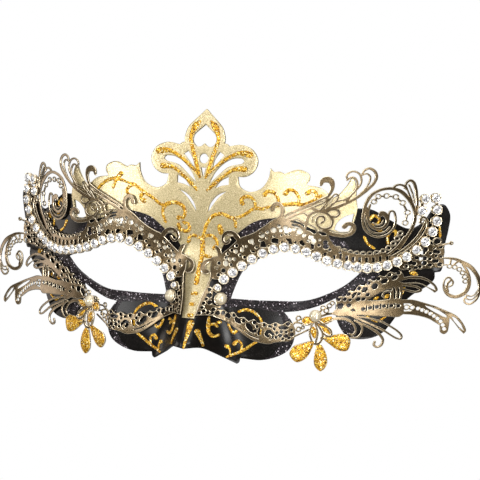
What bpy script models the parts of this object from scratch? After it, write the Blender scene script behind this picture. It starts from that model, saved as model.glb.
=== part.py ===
"""Venetian half mask: moulded shell, pierced metal plates, rhinestone rows, rivets and glitter flowers.

Drawn flat in millimetres (x to the viewer's right, z up) and laid on one curved face surface.
Front is -Y. Everything on the +X side is built once and mirrored.
"""
import math

import bmesh
import bpy
from mathutils import Vector, geometry

# Driving dimensions, millimetres.
MM = 0.001
SHELL_THICK = 1.2
PLATE_THICK = 0.7
PLATE_LIFT = 1.3
LAYER_STEP = 1.0
CHORD_TOL = 0.25
STROKE_TOL = 0.4
BUCKET = 4.0
WELD = 0.02
WELD_M = 0.0001
CORNER_PULL = 0.00008
STONE_R = 2.0
STONE_TABLE_R = 1.15
STONE_CROWN = 0.8
STONE_BASE_THICK = 1.0
STONE_LIFT = 2.8
STUD_R = 2.55
STUD_DOME = 1.7
SHANK_R = 0.85
HEAD_R = 1.9
HEAD_THICK = 0.6
RIVET_HOLE_R = 1.25
SLOT_WIDE = 1.6
SLOT_TALL = 11.0
SLOT_AT = (86.3, 13.0)

# Face surface.
WRAP_K = 4.4e-5
WRAP_LIMIT = 75.0
NOSE_OUT = 17.0
NOSE_HALF = 8.0
CHEEK_FALL = 3.0
FALL_PULL = (0.37, 0.17)
LAND_HALF = (4.0, 6.8)
LAND_FADE = 3.0
FLARE_FROM = 90.5
FLARE_SPAN = 16.5
FLARE_FORWARD = 3.6
FLARE_OUT = 1.35

GOLD = ("antique_gold", (0.42, 0.31, 0.15), 0.34, 1.0)
SHELL = ("lacquered_shell", (0.55, 0.45, 0.24), 0.30, 0.0)
CRYSTAL = ("rhinestone_crystal", (0.90, 0.92, 0.96), 0.08, 0.0)
PEARL = ("pearl_gold", (0.80, 0.74, 0.58), 0.25, 0.3)
GLITTER = ("gold_glitter", (0.76, 0.50, 0.08), 0.45, 0.6)


# ---------------------------------------------------------------- surface

def ease(t):
    """Smooth step from 0 to 1."""
    t = min(max(t, 0.0), 1.0)
    return t * t * (3.0 - 2.0 * t)


def free_depth(x, z):
    """Depth of the face surface without the flat ribbon lands."""
    side = abs(x)
    if side < WRAP_LIMIT:
        wrap = WRAP_K * side ** 3
    else:
        wrap = WRAP_K * WRAP_LIMIT ** 3 + 3.0 * WRAP_K * WRAP_LIMIT ** 2 * (side - WRAP_LIMIT)
    base = 4.5 + 0.0018 * max(z - 15.0, 0.0) ** 2 - 5.7 * ease((15.0 - z) / 40.0)
    half = NOSE_HALF + 3.0 * ease((-10.0 - z) / 20.0)
    return base + wrap - NOSE_OUT * ease((18.0 - z) / 52.0) * math.exp(-(x / half) ** 2)


def land_depth(x, z):
    """Depth of the flat land round a ribbon slot."""
    slope = 3.0 * WRAP_K * WRAP_LIMIT ** 2
    return free_depth(SLOT_AT[0], SLOT_AT[1]) + slope * (abs(x) - SLOT_AT[0])


def depth(x, z):
    """Depth of the face surface: a wrapped brow, a nose ridge and two flat lands."""
    over_x = max(abs(abs(x) - SLOT_AT[0]) - LAND_HALF[0], 0.0)
    over_z = max(abs(z - SLOT_AT[1]) - LAND_HALF[1], 0.0)
    flat = 1.0 - ease(math.hypot(over_x, over_z) / LAND_FADE)
    if flat <= 0.0:
        return free_depth(x, z)
    return flat * land_depth(x, z) + (1.0 - flat) * free_depth(x, z)


def cheek_fall(x, z):
    """How far the cheek falls back below the outer corner of the eye."""
    side = abs(x)
    outer = 1.0 - 0.6 * ease((side - 62.0) / 20.0)
    return CHEEK_FALL * ease((side - 36.0) / 14.0) * ease((6.0 - z) / 14.0) * outer


def face_point(x, z):
    """Point of the face surface for a place on the drawing, millimetres."""
    fall = cheek_fall(x, z)
    flare = ease((abs(x) - FLARE_FROM) / FLARE_SPAN)
    px = x - math.copysign(FALL_PULL[0] * fall, x)
    pz = z - FALL_PULL[1] * fall
    out = math.copysign(FLARE_OUT * flare, x)
    return Vector((px + out, depth(px, pz) + fall - FLARE_FORWARD * flare, pz))


def outward(x, z):
    """Unit normal of the face surface, pointing to the front."""
    step = 0.05
    along_x = face_point(x + step, z) - face_point(x - step, z)
    along_z = face_point(x, z + step) - face_point(x, z - step)
    return along_x.cross(along_z).normalized()


def on_face(x, z, lift):
    """Point at a height above the face surface, in metres."""
    return (face_point(x, z) + outward(x, z) * lift) * MM


# ---------------------------------------------------------------- flat drawing

def between(a, b, t):
    """Point a share t of the way from a to b."""
    return tuple(p + (q - p) * t for p, q in zip(a, b))


def span(a, b):
    """Flat distance, with a floor that keeps divisions safe."""
    return max(math.hypot(b[0] - a[0], b[1] - a[1]), 1e-4)


def spline_piece(p0, p1, p2, p3, steps):
    """Centripetal Catmull-Rom points from p1 up to, not including, p2."""
    t1 = span(p0, p1) ** 0.5
    t2 = t1 + span(p1, p2) ** 0.5
    t3 = t2 + span(p2, p3) ** 0.5
    out = []
    for i in range(steps):
        t = t1 + (t2 - t1) * i / steps
        a1 = between(p0, p1, t / t1)
        a2 = between(p1, p2, (t - t1) / (t2 - t1))
        a3 = between(p2, p3, (t - t2) / (t3 - t2))
        b1 = between(a1, a2, t / t2)
        b2 = between(a2, a3, (t - t1) / (t3 - t1))
        out.append(between(b1, b2, (t - t1) / (t2 - t1)))
    return out


def smooth(points, steps=8):
    """Smooth open line through the points."""
    first = between(points[1], points[0], 2.0)
    last = between(points[-2], points[-1], 2.0)
    walk = [first] + list(points) + [last]
    out = []
    for i in range(len(points) - 1):
        out += spline_piece(walk[i], walk[i + 1], walk[i + 2], walk[i + 3], steps)
    return out + [tuple(points[-1])]


def smooth_loop(points, steps=8):
    """Smooth closed line through the points."""
    count = len(points)
    out = []
    for i in range(count):
        around = [points[(i + k) % count] for k in (-1, 0, 1, 2)]
        out += spline_piece(*around, steps)
    return out


def thin_out(points, tol=CHORD_TOL):
    """Drop points that lie within tol of the chords between the ones kept."""
    if len(points) < 3:
        return list(points)
    a = points[0]
    b = points[-1]
    length = span(a, b)
    worst = 0.0
    index = 0
    for i in range(1, len(points) - 1):
        p = points[i]
        if length < 1e-3:
            off = span(a, p)
        else:
            off = abs((b[0] - a[0]) * (p[1] - a[1]) - (b[1] - a[1]) * (p[0] - a[0])) / length
        if off > worst:
            worst = off
            index = i
    if worst <= tol:
        return [a, b]
    return thin_out(points[:index + 1], tol)[:-1] + thin_out(points[index:], tol)


def outline(runs):
    """Closed outline from smooth runs that meet at corners."""
    out = []
    for run in runs:
        out += thin_out(smooth(run))[:-1]
    return out


def circle(x, z, r, sides, deg=0.0):
    """Regular polygon, counter-clockwise, with its first corner at an angle."""
    first = math.radians(deg)
    turn = 2.0 * math.pi / sides
    return [(x + r * math.cos(first + turn * i), z + r * math.sin(first + turn * i)) for i in range(sides)]


def spiral(x, z, r_start, r_end, deg_start, deg_end, w_start, w_end, steps=8):
    """Centre line of a spiral, with its width as the third value."""
    out = []
    for i in range(steps + 1):
        t = i / steps
        r = r_start + (r_end - r_start) * t
        angle = math.radians(deg_start + (deg_end - deg_start) * t)
        out.append((x + r * math.cos(angle), z + r * math.sin(angle), w_start + (w_end - w_start) * t))
    return out


def even_places(points, count, start=0.0, stop=1.0):
    """Evenly spaced places on a smooth line, each with its unit left normal."""
    line = smooth(points)
    reach = [0.0]
    for a, b in zip(line, line[1:]):
        reach.append(reach[-1] + span(a, b))
    out = []
    for k in range(count):
        share = start + (stop - start) * k / max(count - 1, 1)
        goal = share * reach[-1]
        i = 0
        while i < len(line) - 2 and reach[i + 1] < goal:
            i += 1
        t = (goal - reach[i]) / (reach[i + 1] - reach[i])
        x, z = between(line[i][:2], line[i + 1][:2], t)
        dx = (line[i + 1][0] - line[i][0]) / span(line[i], line[i + 1])
        dz = (line[i + 1][1] - line[i][1]) / span(line[i], line[i + 1])
        out.append((x, z, -dz, dx))
    return out


def inside(x, z, loop):
    """True if a place is inside a closed loop."""
    hit = False
    for (ax, az), (bx, bz) in zip(loop, loop[1:] + loop[:1]):
        if (az > z) != (bz > z) and x < ax + (bx - ax) * (z - az) / (bz - az):
            hit = not hit
    return hit


class Drawing:
    """Areas laid over each other in the flat, turned into one triangulated sheet."""

    def __init__(self):
        self.areas = []
        self.grid = []

    def area(self, loop, holes=()):
        """Add an outline with holes cut from it alone."""
        loop = [(p[0], p[1]) for p in loop]
        self.areas.append((loop, [[(p[0], p[1]) for p in hole] for hole in holes]))

    def stroke(self, points, width=None, closed=False, raw=False, tol=STROKE_TOL):
        """Add a band along a line; the third value of a point is its width."""
        if width is not None:
            points = [(p[0], p[1], width) for p in points]
        if raw:
            line = list(points)
        else:
            line = thin_out(smooth(points), tol)
        sides = []
        count = len(line)
        for i, p in enumerate(line):
            a = line[i - 1] if i else (line[-2] if closed else p)
            b = line[i + 1] if i < count - 1 else (line[1] if closed else p)
            nx = -(b[1] - a[1]) / span(a, b)
            nz = (b[0] - a[0]) / span(a, b)
            half = p[2] / 2.0
            sides.append(((p[0] + nx * half, p[1] + nz * half), (p[0] - nx * half, p[1] - nz * half)))
        if closed:
            sides[-1] = sides[0]
        for (a, b), (c, d) in zip(sides, sides[1:]):
            self.area([a, b, d, c])

    def ring(self, x, z, r, width, sides=8):
        """Add a ring of a mean radius."""
        loop = [(px, pz, width) for px, pz in circle(x, z, r, sides)]
        self.stroke(loop + [loop[0]], closed=True, raw=True)

    def disc(self, x, z, r, sides=8):
        """Add a filled disc."""
        self.area(circle(x, z, r, sides))

    def loops(self):
        """Every outline and hole."""
        out = []
        for loop, holes in self.areas:
            out.append(loop)
            out += holes
        return out

    def fill_grid(self, xs, zs, margin):
        """Add free points that let a wide area follow the curve of the face."""
        edges = []
        for loop in self.loops():
            edges += list(zip(loop, loop[1:] + loop[:1]))
        for x in xs:
            for z in zs:
                if all(edge_gap((x, z), a, b) > margin for a, b in edges):
                    self.grid.append((x, z))

    def buckets(self):
        """Areas listed by the square cells that they reach."""
        cells = {}
        for index, (loop, _) in enumerate(self.areas):
            xs = [p[0] for p in loop]
            zs = [p[1] for p in loop]
            for i in range(math.floor(min(xs) / BUCKET), math.floor(max(xs) / BUCKET) + 1):
                for k in range(math.floor(min(zs) / BUCKET), math.floor(max(zs) / BUCKET) + 1):
                    cells.setdefault((i, k), []).append(index)
        return cells

    def sheet(self):
        """Flat bmesh of every covered triangle, with no pinched corners."""
        points = []
        edges = []
        for loop in self.loops():
            first = len(points)
            count = len(loop)
            points += [Vector(p) for p in loop]
            edges += [(first + i, first + (i + 1) % count) for i in range(count)]
        points += [Vector(p) for p in self.grid]
        result = geometry.delaunay_2d_cdt(points, edges, [], 0, WELD, False)
        cells = self.buckets()
        flat = bmesh.new()
        verts = [flat.verts.new((p[0] * MM, 0.0, p[1] * MM)) for p in result[0]]
        for tri in result[2]:
            x = sum(result[0][i][0] for i in tri) / 3.0
            z = sum(result[0][i][1] for i in tri) / 3.0
            for index in cells.get((math.floor(x / BUCKET), math.floor(z / BUCKET)), ()):
                loop, holes = self.areas[index]
                if inside(x, z, loop) and not any(inside(x, z, hole) for hole in holes):
                    flat.faces.new([verts[i] for i in reversed(tri)])
                    break
        tidy_flat(flat)
        return flat


def edge_gap(p, a, b):
    """Distance from p to the edge a-b."""
    dx = b[0] - a[0]
    dz = b[1] - a[1]
    t = ((p[0] - a[0]) * dx + (p[1] - a[1]) * dz) / max(dx * dx + dz * dz, 1e-9)
    t = min(max(t, 0.0), 1.0)
    return math.hypot(p[0] - a[0] - dx * t, p[1] - a[1] - dz * t)


def fans_at(vert):
    """Groups of faces round a vertex that are joined by shared edges."""
    left = set(vert.link_faces)
    fans = []
    while left:
        todo = [left.pop()]
        fan = set(todo)
        while todo:
            face = todo.pop()
            for edge in face.edges:
                if vert in edge.verts:
                    for other in edge.link_faces:
                        if other in left:
                            left.discard(other)
                            fan.add(other)
                            todo.append(other)
        fans.append(fan)
    return fans


def tidy_flat(flat):
    """Weld slivers, remove loose points and open every corner where two areas only touch."""
    bmesh.ops.remove_doubles(flat, verts=flat.verts, dist=WELD_M)
    bmesh.ops.dissolve_degenerate(flat, edges=flat.edges, dist=WELD_M / 3.0)
    bmesh.ops.triangulate(flat, faces=flat.faces)
    loose = [v for v in flat.verts if not v.link_faces]
    bmesh.ops.delete(flat, geom=loose, context="VERTS")
    for _ in range(3):
        pinched = [v for v in flat.verts if len(fans_at(v)) > 1]
        if not pinched:
            break
        for vert in pinched:
            for fan in fans_at(vert)[1:]:
                close_corner(flat, vert, fan)
    bmesh.ops.recalc_face_normals(flat, faces=flat.faces)
    if flat.faces and sum(f.normal.y * f.calc_area() for f in flat.faces) > 0.0:
        bmesh.ops.reverse_faces(flat, faces=flat.faces)


def close_corner(flat, vert, fan):
    """Give one fan of faces its own corner, drawn back a little from the shared one."""
    middle = Vector()
    for face in fan:
        middle += face.calc_center_median()
    middle /= len(fan)
    pull = (middle - vert.co).normalized() * CORNER_PULL
    twin = flat.verts.new(vert.co + pull)
    for face in list(fan):
        loop = [twin if v is vert else v for v in face.verts]
        flat.faces.remove(face)
        flat.faces.new(loop)


# ---------------------------------------------------------------- objects

def clear_scene():
    """Start from an empty file."""
    for obj in list(bpy.data.objects):
        bpy.data.objects.remove(obj, do_unlink=True)
    for mesh in list(bpy.data.meshes):
        bpy.data.meshes.remove(mesh)


def make_material(spec):
    """Principled material from a name, colour, roughness and metallic value."""
    name, colour, rough, metal = spec
    found = bpy.data.materials.get(name)
    if found:
        return found
    mat = bpy.data.materials.new(name)
    mat.use_nodes = True
    shader = mat.node_tree.nodes["Principled BSDF"]
    shader.inputs["Base Color"].default_value = colour + (1.0,)
    shader.inputs["Roughness"].default_value = rough
    shader.inputs["Metallic"].default_value = metal
    return mat


def new_object(name, mesh, spec, home):
    """Link a mesh object with its material."""
    obj = bpy.data.objects.new(name, mesh)
    mesh.materials.append(make_material(spec))
    home.objects.link(obj)
    return obj


def applied(obj):
    """Replace an object's mesh by its evaluated mesh."""
    graph = bpy.context.evaluated_depsgraph_get()
    mesh = bpy.data.meshes.new_from_object(obj.evaluated_get(graph))
    obj.modifiers.clear()
    old = obj.data
    obj.data = mesh
    bpy.data.meshes.remove(old)
    return obj


def mirror_mesh(mesh, name):
    """Copy of a mesh flipped to the other side."""
    twin = mesh.copy()
    twin.name = name
    for vert in twin.vertices:
        vert.co.x = -vert.co.x
    twin.flip_normals()
    return twin


def plate(name, drawing, spec, home, thick=PLATE_THICK, lift=PLATE_LIFT):
    """Lay a drawing on the face with Solidify behind it; lift may vary over x and z."""
    flat = drawing.sheet()
    for vert in flat.verts:
        x = vert.co.x / MM
        z = vert.co.z / MM
        height = lift(x, z) if callable(lift) else lift
        vert.co = on_face(x, z, height)
    mesh = bpy.data.meshes.new(name)
    flat.to_mesh(mesh)
    flat.free()
    obj = new_object(name, mesh, spec, home)
    solid = obj.modifiers.new("thickness", "SOLIDIFY")
    solid.thickness = thick * MM
    solid.offset = -1.0
    solid.use_even_offset = False
    return applied(obj)


def both_sides(obj, stem, spec, home):
    """Name the built side right and add its mirrored twin on the left."""
    obj.name = stem + "_right"
    obj.data.name = stem + "_right"
    twin = mirror_mesh(obj.data, stem + "_left")
    twin.materials.clear()
    new_object(stem + "_left", twin, spec, home)


# ---------------------------------------------------------------- mask shell

CREST = [
    [(0.0, 70.0), (4.2, 66.0), (7.4, 62.6), (8.8, 58.5), (8.7, 56.4)],
    [(8.7, 56.4), (10.0, 56.0), (10.8, 55.2)],
    [(10.8, 55.2), (16.2, 56.0), (21.2, 53.9), (23.4, 49.4), (21.8, 45.3), (18.4, 43.1), (15.2, 43.0)],
    [(15.2, 43.0), (16.1, 39.2), (20.2, 37.1), (25.4, 38.8), (28.2, 43.0), (28.8, 47.0)],
    [(28.8, 47.0), (30.3, 45.6), (32.6, 45.8), (34.6, 44.9)],
    [(34.6, 44.9), (40.2, 46.8), (44.6, 44.9), (44.9, 42.7), (43.4, 40.6)],
    [(43.4, 40.6), (49.0, 39.6), (54.4, 35.6)],
    [(54.4, 35.6), (56.8, 37.4), (59.4, 40.7)],
    [(59.4, 40.7), (61.2, 43.8), (62.6, 40.6), (62.9, 35.0), (63.4, 31.2)],
]
TEMPLE_EDGE = [
    [(63.4, 31.2), (68.8, 30.6), (74.6, 26.6), (82.0, 22.4), (86.6, 24.6), (90.4, 30.4), (93.6, 32.0),
     (95.9, 28.0), (95.4, 21.0), (94.2, 14.0), (93.9, 6.2)],
    [(93.9, 6.2), (93.2, 4.4), (91.2, 4.3)],
    [(91.2, 4.3), (91.3, 1.4), (89.0, -1.3), (84.8, -4.0), (81.8, -7.0), (78.8, -13.2), (74.0, -19.8),
     (68.0, -21.7), (62.4, -20.6), (59.2, -16.6), (57.4, -11.6), (57.0, -5.0)],
]
CHEEK_EDGE = [
    [(57.0, -5.0), (50.4, -8.2), (43.6, -10.2), (36.9, -11.0)],
    [(36.9, -11.0), (40.4, -14.8), (41.8, -20.4), (40.0, -25.6), (35.5, -28.9), (28.0, -31.0), (19.5, -30.5)],
    [(19.5, -30.5), (19.2, -32.2), (18.3, -32.9)],
    [(18.3, -32.9), (11.8, -28.8), (6.6, -25.4), (0.0, -25.3)],
]
EYE = [
    [(14.2, -6.5), (14.9, -3.6), (18.2, 4.6), (22.8, 8.6), (30.6, 12.7), (36.0, 14.1), (44.0, 12.4),
     (52.6, 8.9), (60.0, 6.8), (65.0, 4.6)],
    [(65.0, 4.6), (60.2, 0.0), (53.6, -3.6), (46.0, -6.1), (36.0, -6.6), (24.0, -6.7), (14.2, -6.5)],
]
SPADE_HALF = [
    [(0.0, 63.7), (2.4, 61.6), (4.8, 59.2), (5.0, 56.6), (3.2, 54.7), (1.5, 54.8), (0.0, 56.0)],
]
LEAF_SLIT = [
    [(6.9, 52.8), (8.9, 51.5)],
    [(8.9, 51.5), (6.6, 48.9), (3.9, 45.9)],
    [(3.9, 45.9), (4.6, 49.2), (6.9, 52.8)],
]
UPPER_CRESCENT = [
    [(2.7, 39.6), (5.0, 44.2), (8.8, 48.2), (13.0, 50.3), (16.6, 50.5)],
    [(16.6, 50.5), (17.6, 49.4), (16.6, 48.3)],
    [(16.6, 48.3), (11.0, 46.9), (6.4, 43.0), (2.7, 39.6)],
]
LOWER_SLOT = [
    [(5.4, 37.9), (7.6, 40.8), (11.3, 42.9)],
    [(11.3, 42.9), (11.3, 39.6)],
    [(11.3, 39.6), (8.4, 39.1), (5.4, 37.9)],
]
LOWER_CRESCENT = [
    [(10.6, 37.0), (7.0, 34.0), (4.4, 30.6), (2.3, 27.4)],
    [(2.3, 27.4), (3.4, 31.4), (6.4, 35.0), (10.6, 37.0)],
]
CREST_CIRCLE = (0.0, 49.8, 2.0)
CREST_TRIANGLE = [(-1.1, 46.1), (1.1, 46.1), (0.0, 42.0)]
TEMPLE_HOLE = [
    [(62.2, 29.2), (58.4, 27.8), (55.8, 25.2), (55.0, 22.6)],
    [(55.0, 22.6), (58.0, 21.4), (60.6, 22.0), (61.4, 25.0), (62.2, 29.2)],
]
NOSE_STUD_AT = (10.3, -6.9)
CHEEK_STUD_AT = (49.6, -12.2)
NOSE_GEM_AT = (8.6, -2.7)
NOSE_GEM_R = 1.5


def flipped(loop):
    """Mirror a flat loop to the other side."""
    return [(-p[0], p[1]) for p in reversed(loop)]


def slot_loop():
    """Round-ended ribbon slot."""
    x, z = SLOT_AT
    half = SLOT_TALL / 2.0 - SLOT_WIDE / 2.0
    r = SLOT_WIDE / 2.0
    top = [(x + r * math.cos(a), z + half + r * math.sin(a)) for a in (0.0, math.pi / 4, math.pi / 2,
                                                                     3 * math.pi / 4, math.pi)]
    low = [(2 * x - px, 2 * z - pz) for px, pz in top]
    return top + low


def shell_drawing():
    """Outline, eye holes, crest piercings, rivet holes and ribbon slots of the moulded shell."""
    half = outline(CREST + TEMPLE_EDGE + CHEEK_EDGE) + [(0.0, -25.3)]
    whole = half + flipped(half)[1:-1]
    side_holes = [outline(EYE), outline(LEAF_SLIT), outline(UPPER_CRESCENT), outline(LOWER_SLOT),
                  outline(LOWER_CRESCENT), outline(TEMPLE_HOLE), slot_loop(),
                  circle(NOSE_STUD_AT[0], NOSE_STUD_AT[1], RIVET_HOLE_R, 8)]
    spade = outline(SPADE_HALF) + [(0.0, 56.0)]
    middle_holes = [spade + flipped(spade)[1:-1], circle(*CREST_CIRCLE, 10), CREST_TRIANGLE]
    drawing = Drawing()
    drawing.area(whole, side_holes + [flipped(hole) for hole in side_holes] + middle_holes)
    near = [0.0, 1.7, 3.4, 5.2, 7.4, 10.2, 13.4]
    wide = [18.5, 25.0, 32.0, 39.0, 46.0, 53.0, 60.0, 67.0, 74.0, 80.0]
    xs = sorted({-x for x in near + wide} | set(near + wide))
    nose_rows = [-21.0, -16.5, -12.0, -7.5, -3.0, 1.5, 6.0, 10.5, 15.0, 19.5]
    drawing.fill_grid([x for x in xs if abs(x) < 14.0], nose_rows, 0.9)
    wide_rows = [-25.0, -18.0, -12.5, -2.0, 7.0, 14.0, 21.0, 28.0, 35.0, 42.0]
    drawing.fill_grid([x for x in xs if abs(x) > 14.0], wide_rows, 1.6)
    drawing.fill_grid([x for x in xs if abs(x) < 14.0], [23.5, 30.0, 37.0, 44.0, 62.0], 1.4)
    for side in (-1.0, 1.0):
        for x in (SLOT_AT[0] - LAND_HALF[0], SLOT_AT[0] + LAND_HALF[0]):
            for z in (SLOT_AT[1] - LAND_HALF[1], SLOT_AT[1], SLOT_AT[1] + LAND_HALF[1]):
                drawing.grid.append((side * x, z))
    return drawing


# ---------------------------------------------------------------- metal plates

STONE_LINE = [(11.1, 0.9), (18.6, 6.8), (27.0, 12.4), (35.9, 15.4), (44.4, 13.6), (52.3, 10.0), (60.1, 8.0),
              (66.9, 7.0), (73.7, 7.9), (80.3, 11.2), (86.8, 17.2), (90.7, 25.4), (90.3, 34.8)]
STONES_PER_ROW = 2 * len(STONE_LINE) - 1
INNER_STONES = [(86.6, 34.5), (85.4, 29.7)]
BAND_TOP = [(5.4, 9.4), (8.4, 10.6), (12.4, 13.2), (17.0, 17.2), (22.0, 19.4), (27.0, 22.2), (32.0, 25.6),
            (36.4, 27.2), (41.0, 25.4), (46.0, 22.6), (52.0, 18.4), (57.0, 15.8), (63.0, 14.8), (70.0, 15.0),
            (76.0, 16.6)]
BAND_END = [(76.0, 16.6), (80.4, 15.6), (84.4, 16.4), (87.6, 19.4)]
BAND_NOSE = [(8.0, 0.4), (6.2, 1.2), (5.0, 4.0), (5.4, 9.4)]
BAND_REACH = 0.8


def lower_edge():
    """Lower edge of the brow band, just under the middle of the stones."""
    places = even_places(STONE_LINE, 33, 0.0, 0.76)
    return thin_out([(x - nx * BAND_REACH, z - nz * BAND_REACH) for x, z, nx, nz in places])


def band_holes():
    """Two rows of piercings in the brow band."""
    holes = []
    for x, z, nx, nz in even_places(STONE_LINE, 11, 0.17, 0.60):
        cx = x + nx * 3.6
        cz = z + nz * 3.6
        holes.append([(cx - nz * s + nx * t, cz + nx * s + nz * t)
                      for s, t in ((-1.1, -0.7), (1.1, -0.7), (0.0, 1.2))])
    for x, z, nx, nz in even_places([(19.5, 14.6), (26.0, 18.6), (33.0, 21.8), (40.0, 21.4), (47.5, 17.6)], 7):
        holes.append(circle(x, z, 1.1, 4))
    return holes


def temple_curl(drawing):
    """Large round curl, its beads and its feather tips."""
    drawing.stroke([(78.4, 15.6, 1.6), (81.2, 20.0, 1.2), (83.4, 26.0, 1.2), (82.6, 31.0, 1.2),
                    (79.8, 36.2, 1.3), (74.6, 39.0, 1.3), (69.4, 37.8, 1.3), (66.2, 33.6, 1.3),
                    (65.3, 28.0, 1.2), (66.4, 22.8, 1.2), (70.6, 19.7, 1.3), (75.0, 21.6, 1.2),
                    (76.7, 26.0, 0.9), (75.4, 30.2, 0.9)])
    drawing.stroke([(67.6, 32.6, 0.9), (67.2, 27.6, 1.0), (68.6, 23.8, 1.1), (72.0, 23.2, 1.2),
                    (73.8, 26.0, 1.3), (71.8, 28.8, 2.0)])
    drawing.stroke([(66.0, 33.0), (67.6, 32.4)], 1.2)
    drawing.stroke([(80.8, 17.4), (80.0, 22.4), (80.9, 29.0), (78.6, 34.0), (73.6, 36.4), (68.9, 34.4)], 1.1)
    drawing.stroke([(78.9, 33.6), (80.8, 34.6)], 0.9)
    drawing.stroke([(72.0, 36.3), (71.4, 38.6)], 0.9)
    drawing.stroke([(76.0, 38.8), (77.2, 40.8), (79.4, 39.6), (80.7, 35.2)], 0.8)
    drawing.stroke([(79.6, 39.4), (81.3, 42.1), (83.2, 38.6), (84.0, 32.6), (83.2, 28.6)], 0.9)


def temple_ribs(drawing):
    """Curved ribs that climb from the band past the curl."""
    drawing.stroke([(74.6, 12.6, 1.2), (79.6, 15.0, 1.2), (84.6, 20.2, 1.2), (86.8, 24.6, 1.1)])
    drawing.ring(86.2, 26.0, 1.3, 0.8, 6)
    drawing.stroke([(88.2, 14.6), (92.4, 15.6), (96.2, 16.2)], 1.0)
    drawing.disc(96.2, 16.2, 0.9, 6)
    lattice = [(88.9, 15.6), (89.0, 9.0), (89.6, 7.0), (93.0, 7.2), (93.6, 10.6), (92.6, 15.6)]
    drawing.area(lattice, [circle(91.2, 13.0, 1.2, 6), circle(91.3, 9.4, 1.0, 4)])
    drawing.stroke([(89.4, 7.8), (84.0, 6.4), (79.4, 7.4), (78.6, 9.4)], 1.2)


def brow_curls(drawing):
    """Hooks, scrolls and plume that stand on the brow band."""
    drawing.stroke([(5.6, 8.0, 1.2), (3.4, 7.4, 1.4), (2.6, 5.2, 2.0), (4.0, 3.6, 2.2)])
    drawing.stroke([(6.6, 9.0, 2.0), (6.8, 12.0, 1.6), (7.0, 14.2, 0.7)])
    drawing.stroke([(16.8, 16.2, 1.7), (15.8, 19.2, 1.5), (13.2, 20.7, 1.5), (10.6, 19.2, 1.5),
                    (10.0, 16.8, 1.3), (12.4, 16.1, 1.1)])
    drawing.stroke([(33.2, 25.8, 1.7), (34.5, 29.0, 1.4), (33.6, 32.0, 1.4), (31.2, 32.0, 1.5),
                    (30.6, 30.2, 1.6)])
    drawing.stroke([(34.4, 26.2, 2.0), (38.0, 28.6, 2.2), (43.6, 31.2, 2.2), (49.6, 33.6, 2.0),
                    (52.4, 36.0, 1.3), (53.5, 39.4, 1.8), (52.4, 42.2, 2.6), (50.2, 42.6, 2.2),
                    (49.3, 41.0, 1.2)])
    drawing.stroke([(46.4, 32.4, 2.0), (49.4, 30.6, 2.0), (55.0, 32.0, 1.8), (60.8, 34.6, 1.6),
                    (66.2, 38.4, 1.3), (69.2, 42.8, 1.2), (68.4, 46.4, 1.1), (65.6, 46.6, 0.9)])
    drawing.stroke([(62.4, 35.6), (66.0, 39.8), (67.2, 43.8), (65.4, 45.4)], 0.8)
    drawing.stroke([(59.2, 33.9), (62.4, 38.6), (64.0, 42.6), (62.4, 45.8), (59.6, 45.4), (59.0, 43.2)], 0.9)
    drawing.stroke([(50.2, 31.2), (52.8, 35.0), (55.2, 36.9), (55.6, 34.6), (53.8, 32.0)], 0.8)
    drawing.stroke([(44.0, 24.2, 1.6), (44.6, 28.0, 1.3), (47.6, 29.6, 1.2), (50.4, 30.2, 1.2)])
    drawing.stroke(spiral(50.6, 26.0, 1.2, 4.3, -60, 450, 1.0, 1.3, 10))
    drawing.stroke([(50.4, 20.0, 2.0), (50.6, 22.4, 2.0)])
    drawing.stroke([(50.0, 20.8, 2.2), (54.0, 20.0, 1.4), (58.8, 19.6, 1.4), (62.0, 21.6, 1.4),
                    (61.6, 24.6, 1.5), (58.8, 24.6, 1.6)])


def brow_drawing():
    """Whole brow plate."""
    band = lower_edge() + thin_out(smooth(BAND_END))[::-1] + thin_out(smooth(BAND_TOP))[::-1][1:]
    band += thin_out(smooth(BAND_NOSE))[::-1][1:-1]
    drawing = Drawing()
    drawing.area(band, band_holes())
    drawing.stroke([(x, z) for x, z, _, _ in even_places(STONE_LINE, 8, 0.72, 1.0)], 2.0)
    drawing.stroke([STONE_LINE[-1]] + INNER_STONES + [(86.4, 27.0)], 1.6)
    brow_curls(drawing)
    temple_curl(drawing)
    temple_ribs(drawing)
    return drawing


NOSE_LACE = [
    [(4.9, -1.4), (3.3, -7.0), (2.6, -13.0)],
    [(2.6, -13.0), (8.9, -13.8), (14.6, -16.4), (20.0, -20.2), (25.6, -23.0), (31.6, -24.0), (39.4, -22.6),
     (41.4, -20.6)],
    [(41.4, -20.6), (41.6, -17.6), (39.9, -14.2)],
    [(39.9, -14.2), (34.0, -14.6), (28.0, -15.2), (22.6, -13.6), (16.0, -11.6), (11.8, -10.6)],
    [(11.8, -10.6), (12.0, -6.9), (10.4, -5.2), (7.6, -5.0), (6.8, -1.4)],
]
LACE_HOLES = [((5.6, -5.2), 0.8), ((6.6, -9.0), 0.8), ((5.0, -11.2), 0.8), ((9.4, -11.6), 0.8),
              ((13.6, -13.4), 1.0), ((33.4, -17.6), 0.8), ((35.8, -20.4), 1.0), ((39.0, -20.0), 0.9),
              ((29.2, -17.6), 0.8), ((31.2, -20.8), 1.3)]
LACE_SLOTS = [[(17.0, -14.4), (19.4, -15.0), (20.2, -16.6), (17.8, -16.4)],
              [(22.0, -15.8), (24.6, -16.6), (26.4, -19.6), (24.0, -19.2)],
              [(35.4, -16.4), (38.6, -16.4), (39.0, -18.0), (35.8, -18.2)]]


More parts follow.
